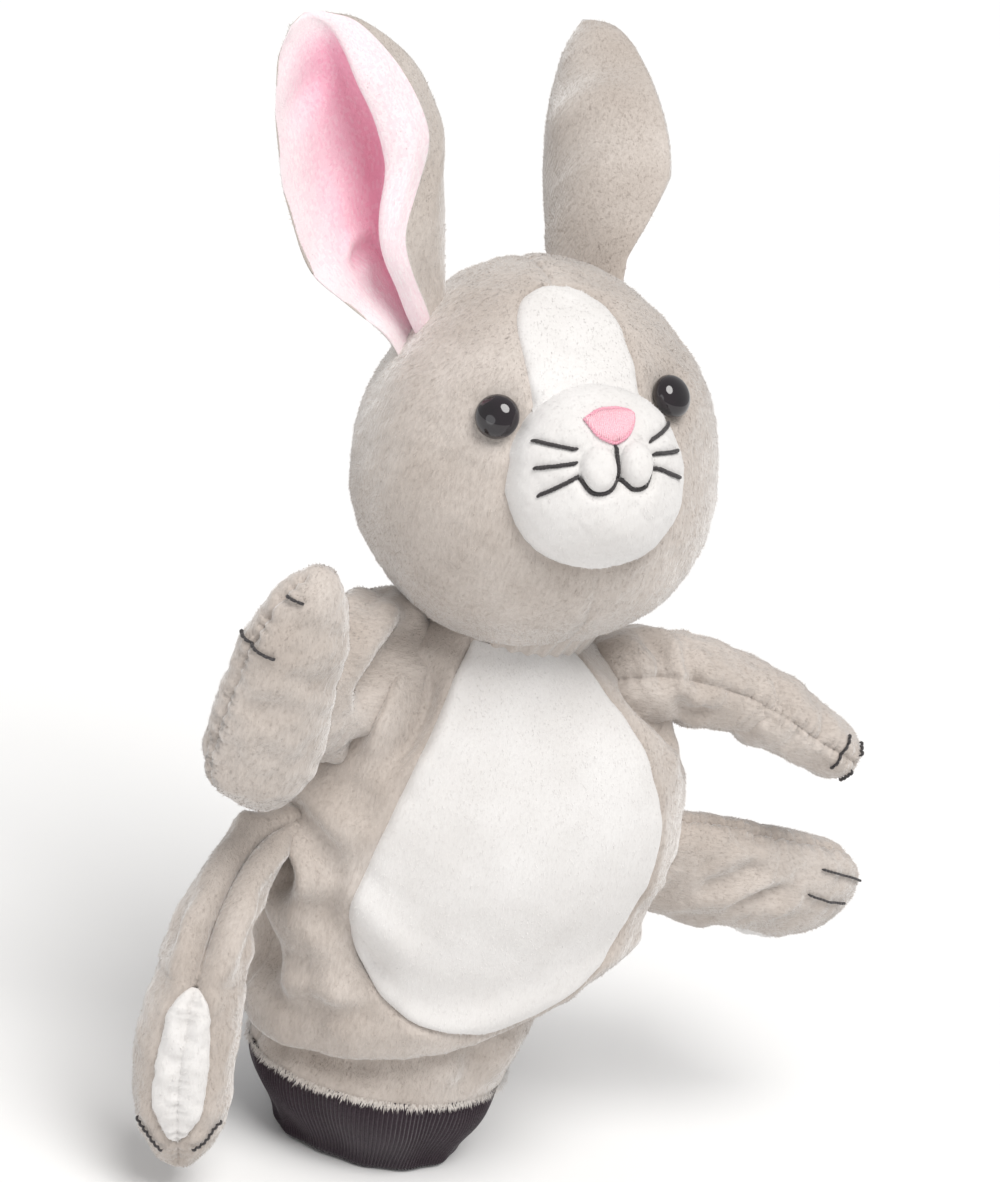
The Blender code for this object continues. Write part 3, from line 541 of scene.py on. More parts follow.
def trunk_shape(u, height):
    """The trunk's skin, with its waist crease, folds and hang, before seams."""
    base = trunk_base(u, height)
    lay = normals(base, False)
    calm = 1 - 0.7 * ramp(belly_edge(u, height), 0, 9)
    swell = (0.9 * ripple(base, 44, 1, 1) + 0.30 * ripple(base, 15, 2)) * calm
    for places, depth, width in BODY_FOLDS:
        swell = swell + fold(base, trunk_line(places), BODY_FOLD_DEPTH * depth, width)
    crease = np.interp(np.degrees(u), [a for a, _ in WAIST], [h for _, h in WAIST])
    strength = 0.35 + 0.65 * bump(np.degrees(u) + 20, 95)
    above = height - crease
    tuck = np.where(above > 0, bump(above, 2.6), bump(above, 13.0))
    swell = swell + strength * (4.6 * bump(above - 9, 8.0) * ramp(above, -1, 4) - 5.0 * tuck)
    swell = swell * ramp(height, 26.5, 36)
    point = base + lay * swell[..., None]
    point[..., 2] -= strength * 4.5 * bump(above - 3.0, 3.6)
    return point


def make_trunk():
    """The glove's body, the fluff over its cuff and the white patch let into its front."""
    rows = np.concatenate([np.linspace(26.6, 76, 46), np.linspace(77, 171, 84)])
    u, height = np.meshgrid(np.radians(np.linspace(-180, 180, 301)), rows)
    skin, base = trunk_shape(u, height), trunk_base(u, height)
    sink = -let_in(belly_edge(u, height), 2.4, -0.6, 1.8, 1.0)
    for angle, depth, pucker in ((90, 0.7, 0.25), (-90, 0.7, 0.25), (180, 0.4, 0.15), (-180, 0.4, 0.15)):
        line = trunk_line([(angle, z) for z in range(27, 172, 12)], 80)
        sink = sink + seam(base, line, depth, 1.0, pucker)
    skin = skin + normals(skin, False) * sink[..., None]
    closed = skin[:, :-1]

    def outside_belly(points):
        angle = np.arctan2((points[:, 0] - 2) / 56, -(points[:, 1] + 2) / 40)
        return belly_edge(angle, points[:, 2]) < -0.2

    body, fuzz = dressed("trunk", closed, True, grey_down, (0, 0, -1), 5, 1.15, keep=outside_belly)
    hem = hem_tufts(closed[0])
    fixed("trunk", "grey_plush", hem)

    rounding = BELLY_ROUNDING * (1 - np.cos(np.linspace(0.10, pi / 2, 40)))
    rise = np.concatenate([BELLY_BOTTOM + rounding, np.linspace(91.8, 168, 72)])
    side, height = np.meshgrid(np.linspace(-1, 1, 97), rise)
    u = side * belly_half_angle(height)
    pad = tucked(belly_edge(u, height), 0.5, 2.6)
    patch = trunk_shape(u, height) + normals(trunk_base(u, height), False) * pad[..., None]
    belly, down = dressed("belly", patch, False, white_down, (0, 0, -1), 6, 0.8, 0.8)
    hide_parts("trunk_front_left", "trunk_front_right", "trunk_back_left", "trunk_back_right")
    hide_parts("belly")
    spread((body, fuzz, belly, down))


def hem_tufts(edge):
    """The fluffy cut edge of the plush where it is sewn to the cuff."""
    rng = np.random.default_rng(31)
    count, half_width = 4200, 0.15
    ring = np.concatenate([edge, edge[:1]])
    outward = unit(ring - ring.mean(0))
    place = rng.uniform(0, len(edge), count)
    i, f = place.astype(int), (place % 1)[:, None]
    out, up = outward[i], np.array((0, 0, 1.0))

    def reach(low, high):
        return rng.uniform(low, high, (count, 1))

    root = ring[i] * (1 - f) + ring[i + 1] * f
    root = root + out * reach(-0.4, 1.4) + up * reach(0, 1.6)
    tip = root + (-up * reach(0.6, 1.7) + out * reach(0.1, 0.9) + rng.normal(size=(count, 3)) * 0.3)
    half = np.cross(out, up) * half_width
    points = np.stack([root - half, root + half, tip], 1)
    return mesh_piece("cuff_seam_fluff", [(points, np.arange(count * 3).reshape(-1, 3), 0)], [grey_pale])


def make_cuff():
    """Fine ribs run up the cuff, with a soft turned hem and a plain inside. The hand lining is above it."""
    ribs, per_rib = 170, 6
    u = around(ribs * per_rib)
    _, x, y, half_width, half_depth = TRUNK_SECTIONS[0]

    def wall(v, inset, ribbed):
        ease = v * v * (3 - 2 * v)
        taper = 0.72 + 0.27 * ease
        rib = 0.26 * np.cos(u * ribs) * ribbed
        sag = 0.9 * np.sin(3 * u + 0.7) * (1 - v) + 0.7 * np.sin(7 * u + 2.0 + 2 * v) * sin(pi * v)
        sag = sag + 0.35 * np.sin(13 * u + 3 * v)
        out = rib + sag + 1.5 * sin(pi * v) ** 2 - inset
        return np.stack([
            x * ease + (half_width * taper + out) * np.sin(u),
            y - (half_depth * taper + out) * np.cos(u),
            np.full_like(u, CUFF_HEIGHT * v + 0.25) + 0.35 * np.sin(5 * u) * (1 - v),
        ], -1)

    rows = [wall(v, 2.6, 0.0) for v in np.linspace(1.0, 0.03, 12)]
    rows += [wall(0.005, 1.9, 0.3), wall(0.0, 1.1, 0.6), wall(0.012, 0.25, 0.9)]
    rows += [wall(v, 0.0, 1.0) for v in np.linspace(0.05, 1.02, 26)]
    cuff = grid_piece("cuff_knit", np.array(rows), dark_knit)
    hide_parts("cuff")
    fixed("trunk", "dark_knit", cuff)

    u, v = np.meshgrid(around(96), np.linspace(28.5, 158, 60))
    base = trunk_base(u, v)
    inset = 9.5 + 3.0 * bump(v - 46, 16) + 0.5 * ripple(base, 18, 9) + 0.5 * np.sin(u * 9 + v * 0.05)
    inner = base - normals(base, True) * inset[..., None]
    lining = grid_piece("hand_lining_soft", inner, tricot)
    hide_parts("hand_lining")
    fixed("trunk", "lining_tricot", lining)


# Head

def head_base(longitude, latitude):
    ring = np.cos(latitude) * (1 - HEAD_EGG * np.sin(latitude))
    return np.stack([
        HEAD_RADII[0] * ring * np.sin(longitude),
        -HEAD_RADII[1] * ring * np.cos(longitude),
        HEAD_RADII[2] * np.sin(latitude),
    ], -1)


def to_world(points):
    return points @ HEAD_TURN.T + HEAD_CENTRE


def head_line(places, count=40):
    """A line over the head through (longitude, latitude) places in degrees."""
    return head_base(*np.radians(through(places, count)).T)


def blaze_half_angle(latitude):
    share = np.clip((BLAZE_TOP - latitude) / radians(22), 0, 1)
    half = BLAZE_HALF_WIDTH * np.sqrt(np.clip(1 - (1 - share) ** 2, 0, 1))
    return half / (HEAD_RADII[0] * np.cos(latitude))


def face_edge(longitude, latitude):
    """About how far a place on the head is inside the white face, in mm."""
    right = longitude * HEAD_RADII[0] * np.cos(latitude)
    up = (latitude - MUZZLE_LATITUDE) * HEAD_RADII[2]
    circle = MUZZLE_RADIUS - np.hypot(right, up)
    across = (blaze_half_angle(latitude) - np.abs(longitude)) * HEAD_RADII[0] * np.cos(latitude)
    top = (BLAZE_TOP - latitude) * HEAD_RADII[2]
    strip = np.where(latitude > MUZZLE_LATITUDE, np.minimum(across, top * 1.4), -9.0)
    return np.maximum(circle, strip)


def eye_seat(sign):
    seat = head_base(np.array(sign * EYE_LONGITUDE), np.array(EYE_LATITUDE))
    step = 1e-3
    a = head_base(np.array(sign * EYE_LONGITUDE + step), np.array(EYE_LATITUDE)) - seat
    b = head_base(np.array(sign * EYE_LONGITUDE), np.array(EYE_LATITUDE + step)) - seat
    return seat, unit(np.cross(a, b))


def head_relief(points):
    """How far the head's stuffed skin stands off its base shape."""
    relief = 0.55 * ripple(points, 36, 11, 1) + 0.16 * ripple(points, 9, 12)
    for _, sign in SIDES:
        d = np.linalg.norm(points - eye_seat(sign)[0], axis=-1)
        relief = relief - 1.3 * bump(d, 6.5) + 0.5 * bump(d - 11, 4.0)
    jowl = [(-70, -30), (-50, -42), (-25, -46), (0, -45), (25, -46), (50, -42), (70, -30)]
    relief = relief + fold(points, head_line(jowl), -0.8, 9.0, 0.0)
    return relief + fold(points, head_line([(-16, 38), (0, 36), (16, 38)]), 0.7, 2.6)


# The head's seams: longitude and latitude places in degrees, how many points, then depth and pucker
HEAD_SEAMS = (
    ([(0, 63), (0, 75), (0, 90)], 24, 0.8, 0.3),
    ([(180, 90), (180, 60), (180, 30), (180, 0), (180, -30), (180, -67)], 90, 0.7, 0.3),
    ([(0, -27), (0, -45), (0, -67)], 40, 0.6, 0.25),
)
HEAD_NAP = HEAD_TURN @ np.array((0, 0.15, -1.0))


def make_head():
    """The grey head, clear of pile round its eyes, and the white blaze let into it."""
    longitudes = np.linspace(-pi, pi, 288, endpoint=False)
    u, v = np.meshgrid(longitudes, np.radians(np.linspace(-68, 89.6, 150)))
    base = head_base(u, v)
    relief = head_relief(base) - let_in(face_edge(u, v), 2.2, -0.4, 2.0, 0.9)
    for places, count, depth, pucker in HEAD_SEAMS:
        relief = relief + seam(base, head_line(places, count), depth, 1.0, pucker)
    skin = base + normals(base, True) * relief[..., None]
    skin[-1] = skin[-1].mean(0)

    def off_face(points):
        local = (points - HEAD_CENTRE) @ HEAD_TURN
        latitude = np.arcsin(np.clip(local[:, 2] / HEAD_RADII[2], -1, 1))
        longitude = np.arctan2(local[:, 0] / HEAD_RADII[0], -local[:, 1] / HEAD_RADII[1])
        clear = face_edge(longitude, latitude) < -0.2
        for _, sign in SIDES:
            clear &= np.linalg.norm(local - eye_seat(sign)[0], axis=1) > EYE_RADIUS - 0.4
        return clear

    head, fuzz = dressed("head", to_world(skin), True, grey_down, HEAD_NAP, 15, keep=off_face)

    rise = 1 - np.cos(np.linspace(0.09, pi / 2, 72)[::-1])
    side, lat = np.meshgrid(np.linspace(-1, 1, 61), BLAZE_TOP - BLAZE_LENGTH * rise)
    lon = side * blaze_half_angle(lat)
    base = head_base(lon, lat)
    lift = head_relief(base) + tucked(face_edge(lon, lat), 0.35, 2.3)
    strip = to_world(base + normals(base, False) * lift[..., None])
    blaze, down = dressed("blaze", strip, False, white_down, HEAD_NAP, 16, 0.9, 0.9)
    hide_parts("head_left", "head_right")
    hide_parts("blaze")
    for made in (head, fuzz, blaze, down):
        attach(made, "head")


# The muzzle, on which a place is so many mm right and up of its middle
SMILE = [(-11, 3), (-8, -1), (-3.5, -1), (0, 2), (3.5, -1), (8, -1), (11, 3)]
NOSE = [(-7, 17.6), (-3.2, 19.4), (0, 19.8), (3.2, 19.4), (7, 17.6), (4.6, 13.4), (0, 11.4), (-4.6, 13.4)]
WHISKERS = ((11, 10.5, 20.5, 12.5), (11.5, 7, 21.5, 5.5), (11.5, 3.5, 21, -1.5))


def muzzle_base(right, up):
    """The muzzle's dome in the head's frame."""
    reach = np.hypot(right, up) / MUZZLE_REACH
    swell = np.minimum(reach, 1.06) * 0.98
    turn = np.arctan2(right, up)
    latitude = MUZZLE_LATITUDE + MUZZLE_RADIUS / HEAD_RADII[2] * swell * np.cos(turn)
    longitude = MUZZLE_RADIUS / HEAD_RADII[0] * swell * np.sin(turn) / np.cos(latitude)
    rise = MUZZLE_HEIGHT * np.sqrt(np.clip(1 - reach**2, 0, 1)) ** 0.8
    axis = np.array((0, -cos(MUZZLE_LATITUDE), sin(MUZZLE_LATITUDE)))
    return head_base(longitude, latitude) + rise[..., None] * axis


def muzzle_relief(right, up):
    """Cheeks that swell over the mouth, with the stitched lines pulled in."""
    flat = np.stack([right, up, 0 * right], -1)
    mouth = np.concatenate([through(SMILE), np.zeros((40, 1))], 1)
    crease = np.array([(0, y, 0) for y in np.linspace(11.5, 2.0, 12)])
    lobe = np.hypot((np.abs(right) - 5.5) / 5.0, (up - 5.0) / 6.2)
    relief = 2.3 * np.clip(1 - lobe**2, 0, 1) ** 0.6 - 0.7 * bump(lobe - 1.08, 0.26)
    relief = relief + 0.9 * np.exp(-(right / 10) ** 2 - ((up + 9) / 7.5) ** 2)
    relief = relief - 1.5 * bump(near_line(flat, mouth)[0], 1.5)
    relief = relief - 1.3 * bump(near_line(flat, crease)[0], 1.5)
    for _, sign in SIDES:
        for x0, y0, x1, y1 in WHISKERS:
            whisker = np.array([(sign * x0, y0, 0), (sign * x1, y1, 0)], float)
            relief = relief - 0.45 * bump(near_line(flat, whisker)[0], 1.3)
    relief = relief - 0.5 * np.exp(-(right / 7.5) ** 2 - ((up - 16) / 4.5) ** 2)
    relief = relief + 0.25 * ripple(flat, 13, 21, 1) + 0.08 * ripple(flat, 4.0, 22)
    return relief

def muzzle_skin(right, up, lift=0.0):
    """The dressed muzzle in the frame, and its outward direction."""
    step = 0.05
    centre = muzzle_base(right, up)
    across = muzzle_base(right + step, up) - muzzle_base(right - step, up)
    rising = muzzle_base(right, up + step) - muzzle_base(right, up - step)
    out = unit(np.cross(across, rising))
    point = centre + out * (muzzle_relief(right, up) + lift)[..., None]
    return to_world(point), out @ HEAD_TURN.T


def on_muzzle(place, lift):
    return muzzle_skin(np.array([place[0]]), np.array([place[1]]), np.array([lift]))[0][0]


def slanted_stitches(places, radius, seed, pitch=0.8, length=1.7, slant=0.4):
    """Close slanted stitches along places on the muzzle, as an embroidery machine lays a line."""
    rng = np.random.default_rng(seed)
    places = np.asarray(places, float)
    run = run_along(places)
    count = max(int(round(run[-1] / pitch)), 1)

    def spot(reach):
        return np.array([np.interp(reach, run, places[:, 0]), np.interp(reach, run, places[:, 1])])

    lines = []
    for k in range(count):
        middle = (k + 0.5) * run[-1] / count
        ahead = unit(spot(middle + 0.2) - spot(middle - 0.2))
        across = np.array((-ahead[1], ahead[0]))
        reach = (ahead * length + across * slant * 2) / 2 * rng.uniform(0.85, 1.15)
        lines.append(np.array([
            on_muzzle(spot(middle) + reach * t, radius * (0.2 + cos(t * pi / 2)))
            for t in np.linspace(-1, 1, 6)
        ]))
    return lines


def nose_filling(outline):
    """Upright stitches side by side that fill an outline, each arched over its middle."""
    lines = []
    lift = 0.35 + 0.55 * np.sin(np.linspace(0, pi, 12)) ** 0.6
    for x in np.arange(-6.6, 6.7, 0.52):
        crossings = [
            ay + (by - ay) * (x - ax) / (bx - ax)
            for (ax, ay), (bx, by) in zip(outline, outline[1:]) if (ax - x) * (bx - x) < 0
        ]
        if len(crossings) >= 2 and max(crossings) - min(crossings) > 0.6:
            run = np.linspace(min(crossings), max(crossings), 12)
            places = [((x + 0.1 * sin(y * 3 + x), y), up) for y, up in zip(run, lift)]
            lines.append(np.array([on_muzzle(place, up) for place, up in places]))
    return lines


def make_face():
    """The white muzzle, then its embroidered mouth, whiskers and nose."""
    turn, reach = np.meshgrid(around(180), np.sin(np.linspace(pi / 2, 0.012, 64)))
    reach = reach * MUZZLE_REACH
    grid, out = muzzle_skin(-reach * np.sin(turn), reach * np.cos(turn))
    rim = grid[:1] - 5.0 * unit(out[:1].mean(1, keepdims=True))
    grid = grid - out * (0.9 * np.exp(-(MUZZLE_REACH - reach) / 1.2))[..., None]
    grid = np.concatenate([rim, grid, np.broadcast_to(grid[-1].mean(0), grid[-1:].shape)])
    muzzle, fuzz = dressed("muzzle", grid, True, white_down, HEAD_NAP, 17, 0.7, 0.9)
    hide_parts("muzzle")
    for made in (muzzle, fuzz):
        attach(made, "head")

    # Each black line: its name, the node it replaces, then its places, radius, seed and slant
    lines = [
        ("mouth", "mouth_stitches", through(SMILE, 60), 0.5, 41, 0.4),
        ("philtrum", "philtrum_stitches", [(0, 10.6), (0, 3.0)], 0.42, 42, 0.4),
    ]
    for side, sign in SIDES:
        for number, (x0, y0, x1, y1) in enumerate(WHISKERS, 1):
            name = f"whisker_{side}_{number}"
            lines.append((name, name, [(sign * x0, y0), (sign * x1, y1)], 0.46, 50 + number, 0.35))
    for name, replaced, places, radius, seed, slant in lines:
        stitches = slanted_stitches(places, radius, seed, slant=slant)
        made = strands_piece(f"{name}_embroidery", stitches, radius, black_thread)
        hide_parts(replaced)
        fixed("head", "black_thread", made)

    outline = through(NOSE + NOSE[:1], 90)
    parts = [strand(line, 0.34) for line in nose_filling(outline)]
    parts += [strand(line, 0.40, 1) for line in slanted_stitches(outline, 0.40, 43, 0.9, 1.6, 0.25)]
    nose = mesh_piece("nose_embroidery", parts, [pink_thread, pink_edge_thread])
    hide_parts("nose_stitches")
    fixed("head", "pink_thread", nose)


def make_eyes():
    """Domed safety eyes, each with its shank."""
    for side, sign in SIDES:
        seat, out = eye_seat(sign)
        across = unit(np.cross((0, 0, 1.0), out))
        up = np.cross(out, across)
        angle = around(64)[:, None]
        profile = [(1.6, -8.0), (1.6, -1.8), (5.2, -1.2), (5.75, -0.3)]
        rise = np.linspace(0, pi / 2, 22)[:-1]
        profile += [(EYE_RADIUS * cos(a) ** 0.92, 0.6 + 4.3 * sin(a)) for a in rise]
        radius, height = np.array(profile + [(0.0, 0.6 + 4.3)]).T
        ring = across * np.cos(angle) + up * np.sin(angle)
        grid = seat + ring[None] * radius[:, None, None] + out * height[:, None, None]
        eye = grid_piece(f"eye_{side}_dome", to_world(grid), black_plastic)
        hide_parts(f"eye_{side}")
        fixed("head", "black_plastic", eye)


# Neck

def make_neck():
    """The gathered collar between the trunk and the head."""
    u, v = np.meshgrid(around(240), np.linspace(0, 1, 26))
    low = np.stack([-3 + 21 * np.sin(u), -18 * np.cos(u), np.full_like(u, 158.0)], -1)
    rim = head_base(u, np.full_like(u, radians(-60)))
    high = to_world(rim * np.array((0.84, 0.84, 1.0)) + np.array((0, 0, 5.0)))
    grid = low * (1 - v[..., None]) + high * v[..., None]
    centre = grid.mean(1, keepdims=True)
    gather = (0.5 * np.sin(u * 26 + 1.5 * np.sin(u * 3)) + 1.0) * np.sin(pi * v)
    grid = grid + unit(grid - centre) * gather[..., None]
    neck = grid_piece("neck_gather", grid, grey_down)
    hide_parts("neck_collar")
    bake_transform(neck)


# Ears

# Sections of the right ear: height, then (across, back) places round the pink front and, between its ends,
# round the grey back
EAR_SECTIONS = [
    (-15, [(-7, -1), (-5, -0.5), (-3, 0), (-1, 0.5), (0, 0.8), (0, -0.6), (-1, -2.4), (0, -3.5), (2, -3.5)],
     [(6, -2), (6.5, 2), (3, 4), (-2, 3.2), (-5.5, 0.8)]),
    (-3, [(-11, -2), (-8, -1), (-5, 0), (-2, 1), (0, 1.5), (-1, -1), (-3, -4), (-1, -6), (2, -6)],
     [(9, -3), (10, 3), (4, 6), (-4, 5), (-9, 1)]),
    (21, [(-26, -5), (-19, -1), (-11, 3), (-3, 5.5), (2, 4.5), (-1, -1), (-6, -7), (-4, -10), (0, -10.5)],
     [(12, -8), (19, 1), (10, 9), (-6, 8), (-18, 3)]),
    (42, [(-27, -4.5), (-20.5, -0.5), (-10.5, 5), (1, 8.5), (10, 7), (8, 0), (3, -6), (9, -10), (17, -7)],
     [(25.5, -1), (22, 8), (6, 12.5), (-11, 8.5), (-22, 2)]),
    (62, [(-22.5, -3.5), (-17, 0), (-10, 4), (-2, 6.5), (6, 6), (7, 1), (4, -4), (10, -6.5), (17, -4)],
     [(23, 1), (17, 8), (4, 9.5), (-8, 7), (-17.5, 2)]),
    (76, [(-15, 0), (-11.5, 2), (-7, 3.5), (-2.5, 4.5), (1.5, 4.3), (4, 3), (5, 1), (8, 0), (12, 1)],
     [(14, 3.5), (9, 7), (2, 8), (-5, 6.8), (-11.5, 3.5)]),
    (83, [(-7, 2.4), (-5.6, 2.8), (-4, 3.1), (-2.4, 3.4), (-1, 3.5), (0, 3.4), (1, 3.2), (2.4, 3.1),
          (4, 3.4)],
     [(4.2, 4.4), (2.4, 5.2), (-1, 5.6), (-4, 5.1), (-6.4, 3.8)]),
]


def ear_matrix(side):
    base, turn = EARS[side]
    return HEAD_TURN @ np.array(Euler([radians(a) for a in turn]).to_matrix()), to_world(np.array(base))


def ear_piece(side, pink_grid, grey_grid, seed, tone):
    """An ear from its pink and grey faces in its own frame.

    tone(up, across) is how deep the pink's painted shade is, from 0 to 1.
    """
    turn, base = ear_matrix(side)
    pink_grid, grey_grid = (grid @ turn.T + base for grid in (pink_grid, grey_grid))
    tip = (pink_grid[-1].mean(0) + grey_grid[-1].mean(0)) / 2
    cap = tip + turn @ np.array((0, 0, 1.6))
    rng = np.random.default_rng(seed)

    def shade(up, across):
        depth = PINK_STEPS * tone(up, across) + rng.uniform(-0.6, 0.6, np.shape(up))
        return np.clip(np.rint(depth), 0, PINK_STEPS).astype(int)

    parts = []
    for grid in (pink_grid, grey_grid):
        grid = np.concatenate([grid, np.broadcast_to(cap, grid[-1:].shape)])
        rows, columns = grid.shape[0] - 1, grid.shape[1] - 1
        up, across = np.meshgrid(np.arange(rows) / rows, np.arange(columns) / columns, indexing="ij")
        parts.append(grid_part(grid, False, len(PINKS) if parts else shade(up, across).ravel()))
    finishes = [*PINKS, grey_down]
    skin = mesh_piece(f"ear_{side}_plush", parts, finishes, weld=True)
    nap = turn @ np.array((0, 0, 1.0))
    fuzz = mesh_piece(f"ear_{side}_pile", [
        pile_part(pink_grid, False, nap, 0.8, 0.7, seed, shade),
        pile_part(grey_grid, False, nap, 1.2, 1.1, seed + 1, len(PINKS)),
    ], finishes)
    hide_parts(f"ear_{side}_back", f"ear_{side}_inner")
    for piece in (skin, fuzz):
        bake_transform(piece)


def make_right_ear():
    """An ear folded lengthways, with its pink front showing."""
    rows = np.linspace(0, 1, 110) ** 0.95
    heights = smooth([section[0] for section in EAR_SECTIONS], rows)

    def lofted(rims, columns):
        rings = np.array([through(rim, columns) for rim in rims])
        rings = smooth(rings.reshape(len(rims), -1), rows).reshape(len(rows), columns, 2)
        return np.concatenate([rings, np.broadcast_to(heights[:, None, None], (*rings.shape[:2], 1))], -1)

    def folded(sheet, places, depth, width, lip=0.35):
        return fold(sheet, np.array(places, float), depth, width, lip)

    pink = lofted([front for _, front, _ in EAR_SECTIONS], 110)
    grey = lofted([[front[-1], *back, front[0]] for _, front, back in EAR_SECTIONS], 80)
    crumple = folded(pink, [(-13, 2.2, 15), (-8, 3.5, 18), (-2, 5, 18.5), (2, 4, 17)], 2.0, 2.0, 0.5)
    crumple = crumple + folded(pink, [(-22, -2, 58), (-12, 4, 64), (-4, 6, 66), (4, 6, 65)], 1.0, 4.0)
    crumple = crumple + 0.3 * ripple(pink, 19, 61, 1)
    crease = 0.35 * ripple(grey, 19, 62, 1) + folded(grey, [(8, 9, 34), (0, 11, 40), (-9, 9, 42)], 1.4, 4.0)
    pink = pink + normals(pink, False) * crumple[..., None]
    grey = grey + normals(grey, False) * crease[..., None]
    pink[:, 0] = grey[:, -1] = (pink[:, 0] + grey[:, -1]) / 2
    pink[:, -1] = grey[:, 0] = (pink[:, -1] + grey[:, 0]) / 2

    def tone(up, across):
        # Painted shade in the pink: it deepens from the open rim into the valley under the folded flap and
        # fades towards the base and the tip, while the flap stays almost plain
        inner = ramp(across, 0.05, 0.50) * ramp(up, 0.0, 0.25) * (1 - 0.9 * ramp(up, 0.72, 0.92))
        folded_over = across > 0.66 - 0.02 * np.sin(up * 5)
        return np.where(folded_over, 0.08 + 0.12 * ramp(0.5 - up, 0.0, 0.5), inner)

    ear_piece("right", pink, grey, 63, tone)


def make_left_ear():
    """A plain cupped petal, dented across its back."""
    u, height = np.meshgrid(np.linspace(-1, 1, 70), np.linspace(-13, LEFT_EAR_TOP, 106))
    v = np.clip(height / LEFT_EAR_TOP, 0, 0.998)
    outline = np.sin(pi * (0.10 + 0.895 * v) ** 0.88) ** (0.80 - 0.34 * ramp(v, 0.3, 0.9))
    outline = outline * (1 + np.minimum(height, 0) / 30)
    cup = 12 * (0.15 + 0.85 * np.minimum(1, v / 0.3))
    across = 21.5 * outline * u + 4.5 * (1 - v) ** 2
    sheet = np.stack([across, -cup * outline * u**2 + 5 * np.sin(pi * v), height], -1)
    thick = 1.9 * np.sqrt(np.clip(1 - np.abs(u) ** 3.0, 0, 1)) * ramp(1 - v, -0.02, 0.10)
    lay = normals(sheet, False)
    wave = 0.3 * ripple(sheet, 18, 64, 1)
    dent = fold(sheet, np.array([(-20, -4, 46), (-8, 3, 50), (6, 4, 49), (18, -2, 52)], float), 2.0, 6.0)
    pink = sheet + lay * (thick + wave + dent)[..., None]
    grey = (sheet - lay * (thick - wave - dent)[..., None])[:, ::-1]

    def tone(up, across):
        # Painted shade in the pink: it deepens down the middle of the cup, its hollow
        return 0.2 + 0.7 * bump(across - 0.5, 0.25)

    ear_piece("left", pink, grey, 65, tone)


# Arms and legs

def limb(spine, widths, depths, across, tip, root):
    """A mitten's skin as a function of u round it and v along it.

    u is 0 on its back edge and pi on its palm edge.
    """
    spine = np.array(spine, float)

    def at(u, v):
        centre = smooth(spine, v)
        along = unit(smooth(spine, v + 0.02) - smooth(spine, v - 0.02))
        wide = unit(across - along * (along @ across)[..., None])
        deep = np.cross(along, wide)
        ease = np.ones_like(v)
        for length, left in ((tip, 1 - v), (root, v)):
            if length:
                eased = np.sqrt(np.clip(1 - ((length - left) / length) ** 2, 0, 1))
                ease = np.where(left < length, eased, ease)
        w, d = smooth(widths, v) * ease, smooth(depths, v) * ease
        return centre + wide * (w * np.cos(u))[..., None] + deep * (d * np.sin(u))[..., None]

    return at


def limb_line(at, places, count=40):
    return at(*through(places, count).T)


def limb_skin(at, u, v, seed, folds, seams):
    """Points over a limb with its folds and puckered seams, and their outward directions."""
    base = at(u, v)
    step = 1e-3
    lay = unit(np.cross(at(u + step, v) - at(u - step, v), at(u, v + step) - at(u, v - step)))
    puff = LIMB_WOBBLE * ripple(base, 17, seed) + 0.12 * ripple(base, 6, seed + 1)
    for places, depth, width in folds:
        puff = puff + fold(base, limb_line(at, places), depth, width)
    for places, depth, pucker in seams:
        puff = puff + seam(base, limb_line(at, places, 70), depth, 1.1, pucker)
    puff = puff * ramp(1 - v, -0.002, 0.03)
    return base + lay * puff[..., None], lay


def limb_grid(at, rows, columns, closes, sink, **dress):
    """The whole skin of a limb, drawn together at the ends that close and sunk by sink(u, v)."""
    run = np.linspace(0, 1, rows)
    if closes[1]:
        run = run + 0.12 * np.sin(pi * run) * run
    u, v = np.meshgrid(np.linspace(0, 2 * pi, columns + 1), run)
    grid, lay = limb_skin(at, u, v, **dress)
    if sink:
        grid = grid - lay * sink(u, v)[..., None]
    grid = grid[:, :-1]
    for closed, row in zip(closes, (0, -1)):
        if closed:
            grid[row] = grid[row].mean(0)
    return grid


def claws(name, prefix, body, places, radius=0.5):
    """Black stitches on a limb's dressed skin, each between two (u, v) places."""
    shape, dress = LIMBS[name]
    for number, (u0, v0, u1, v1) in enumerate(places, 1):
        spots = through([(u0, v0), ((u0 + u1) / 2, (v0 + v1) / 2), (u1, v1)])
        line, out = limb_skin(limb(**shape), *spots.T, **dress)
        run = run_along(line)
        count = max(int(round(run[-1] / CLAW_PITCH)), 1)
        arch = CLAW_LIFT * (0.3 + np.sin(np.linspace(0, pi, 7)) ** 0.5)
        lines = []
        for k in range(count):
            reach = np.clip(np.linspace(k - 0.05, k + 0.95, 7) * run[-1] / count, 0, run[-1])
            spot, up = (
                np.stack([np.interp(reach, run, axis) for axis in values.T], 1) for values in (line, out)
            )
            lines.append(spot + up * arch[:, None])
        made = strands_piece(f"{prefix}_claw_{number}_thread", lines, radius, black_thread)
        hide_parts(f"{prefix}_claw_{number}")
        fixed(body, "black_thread", made)


def straight(u, low, high, depth, pucker):
    """A seam along a limb at u, from low to high."""
    return [(u, low), (u, 0.5), (u, high)], depth, pucker


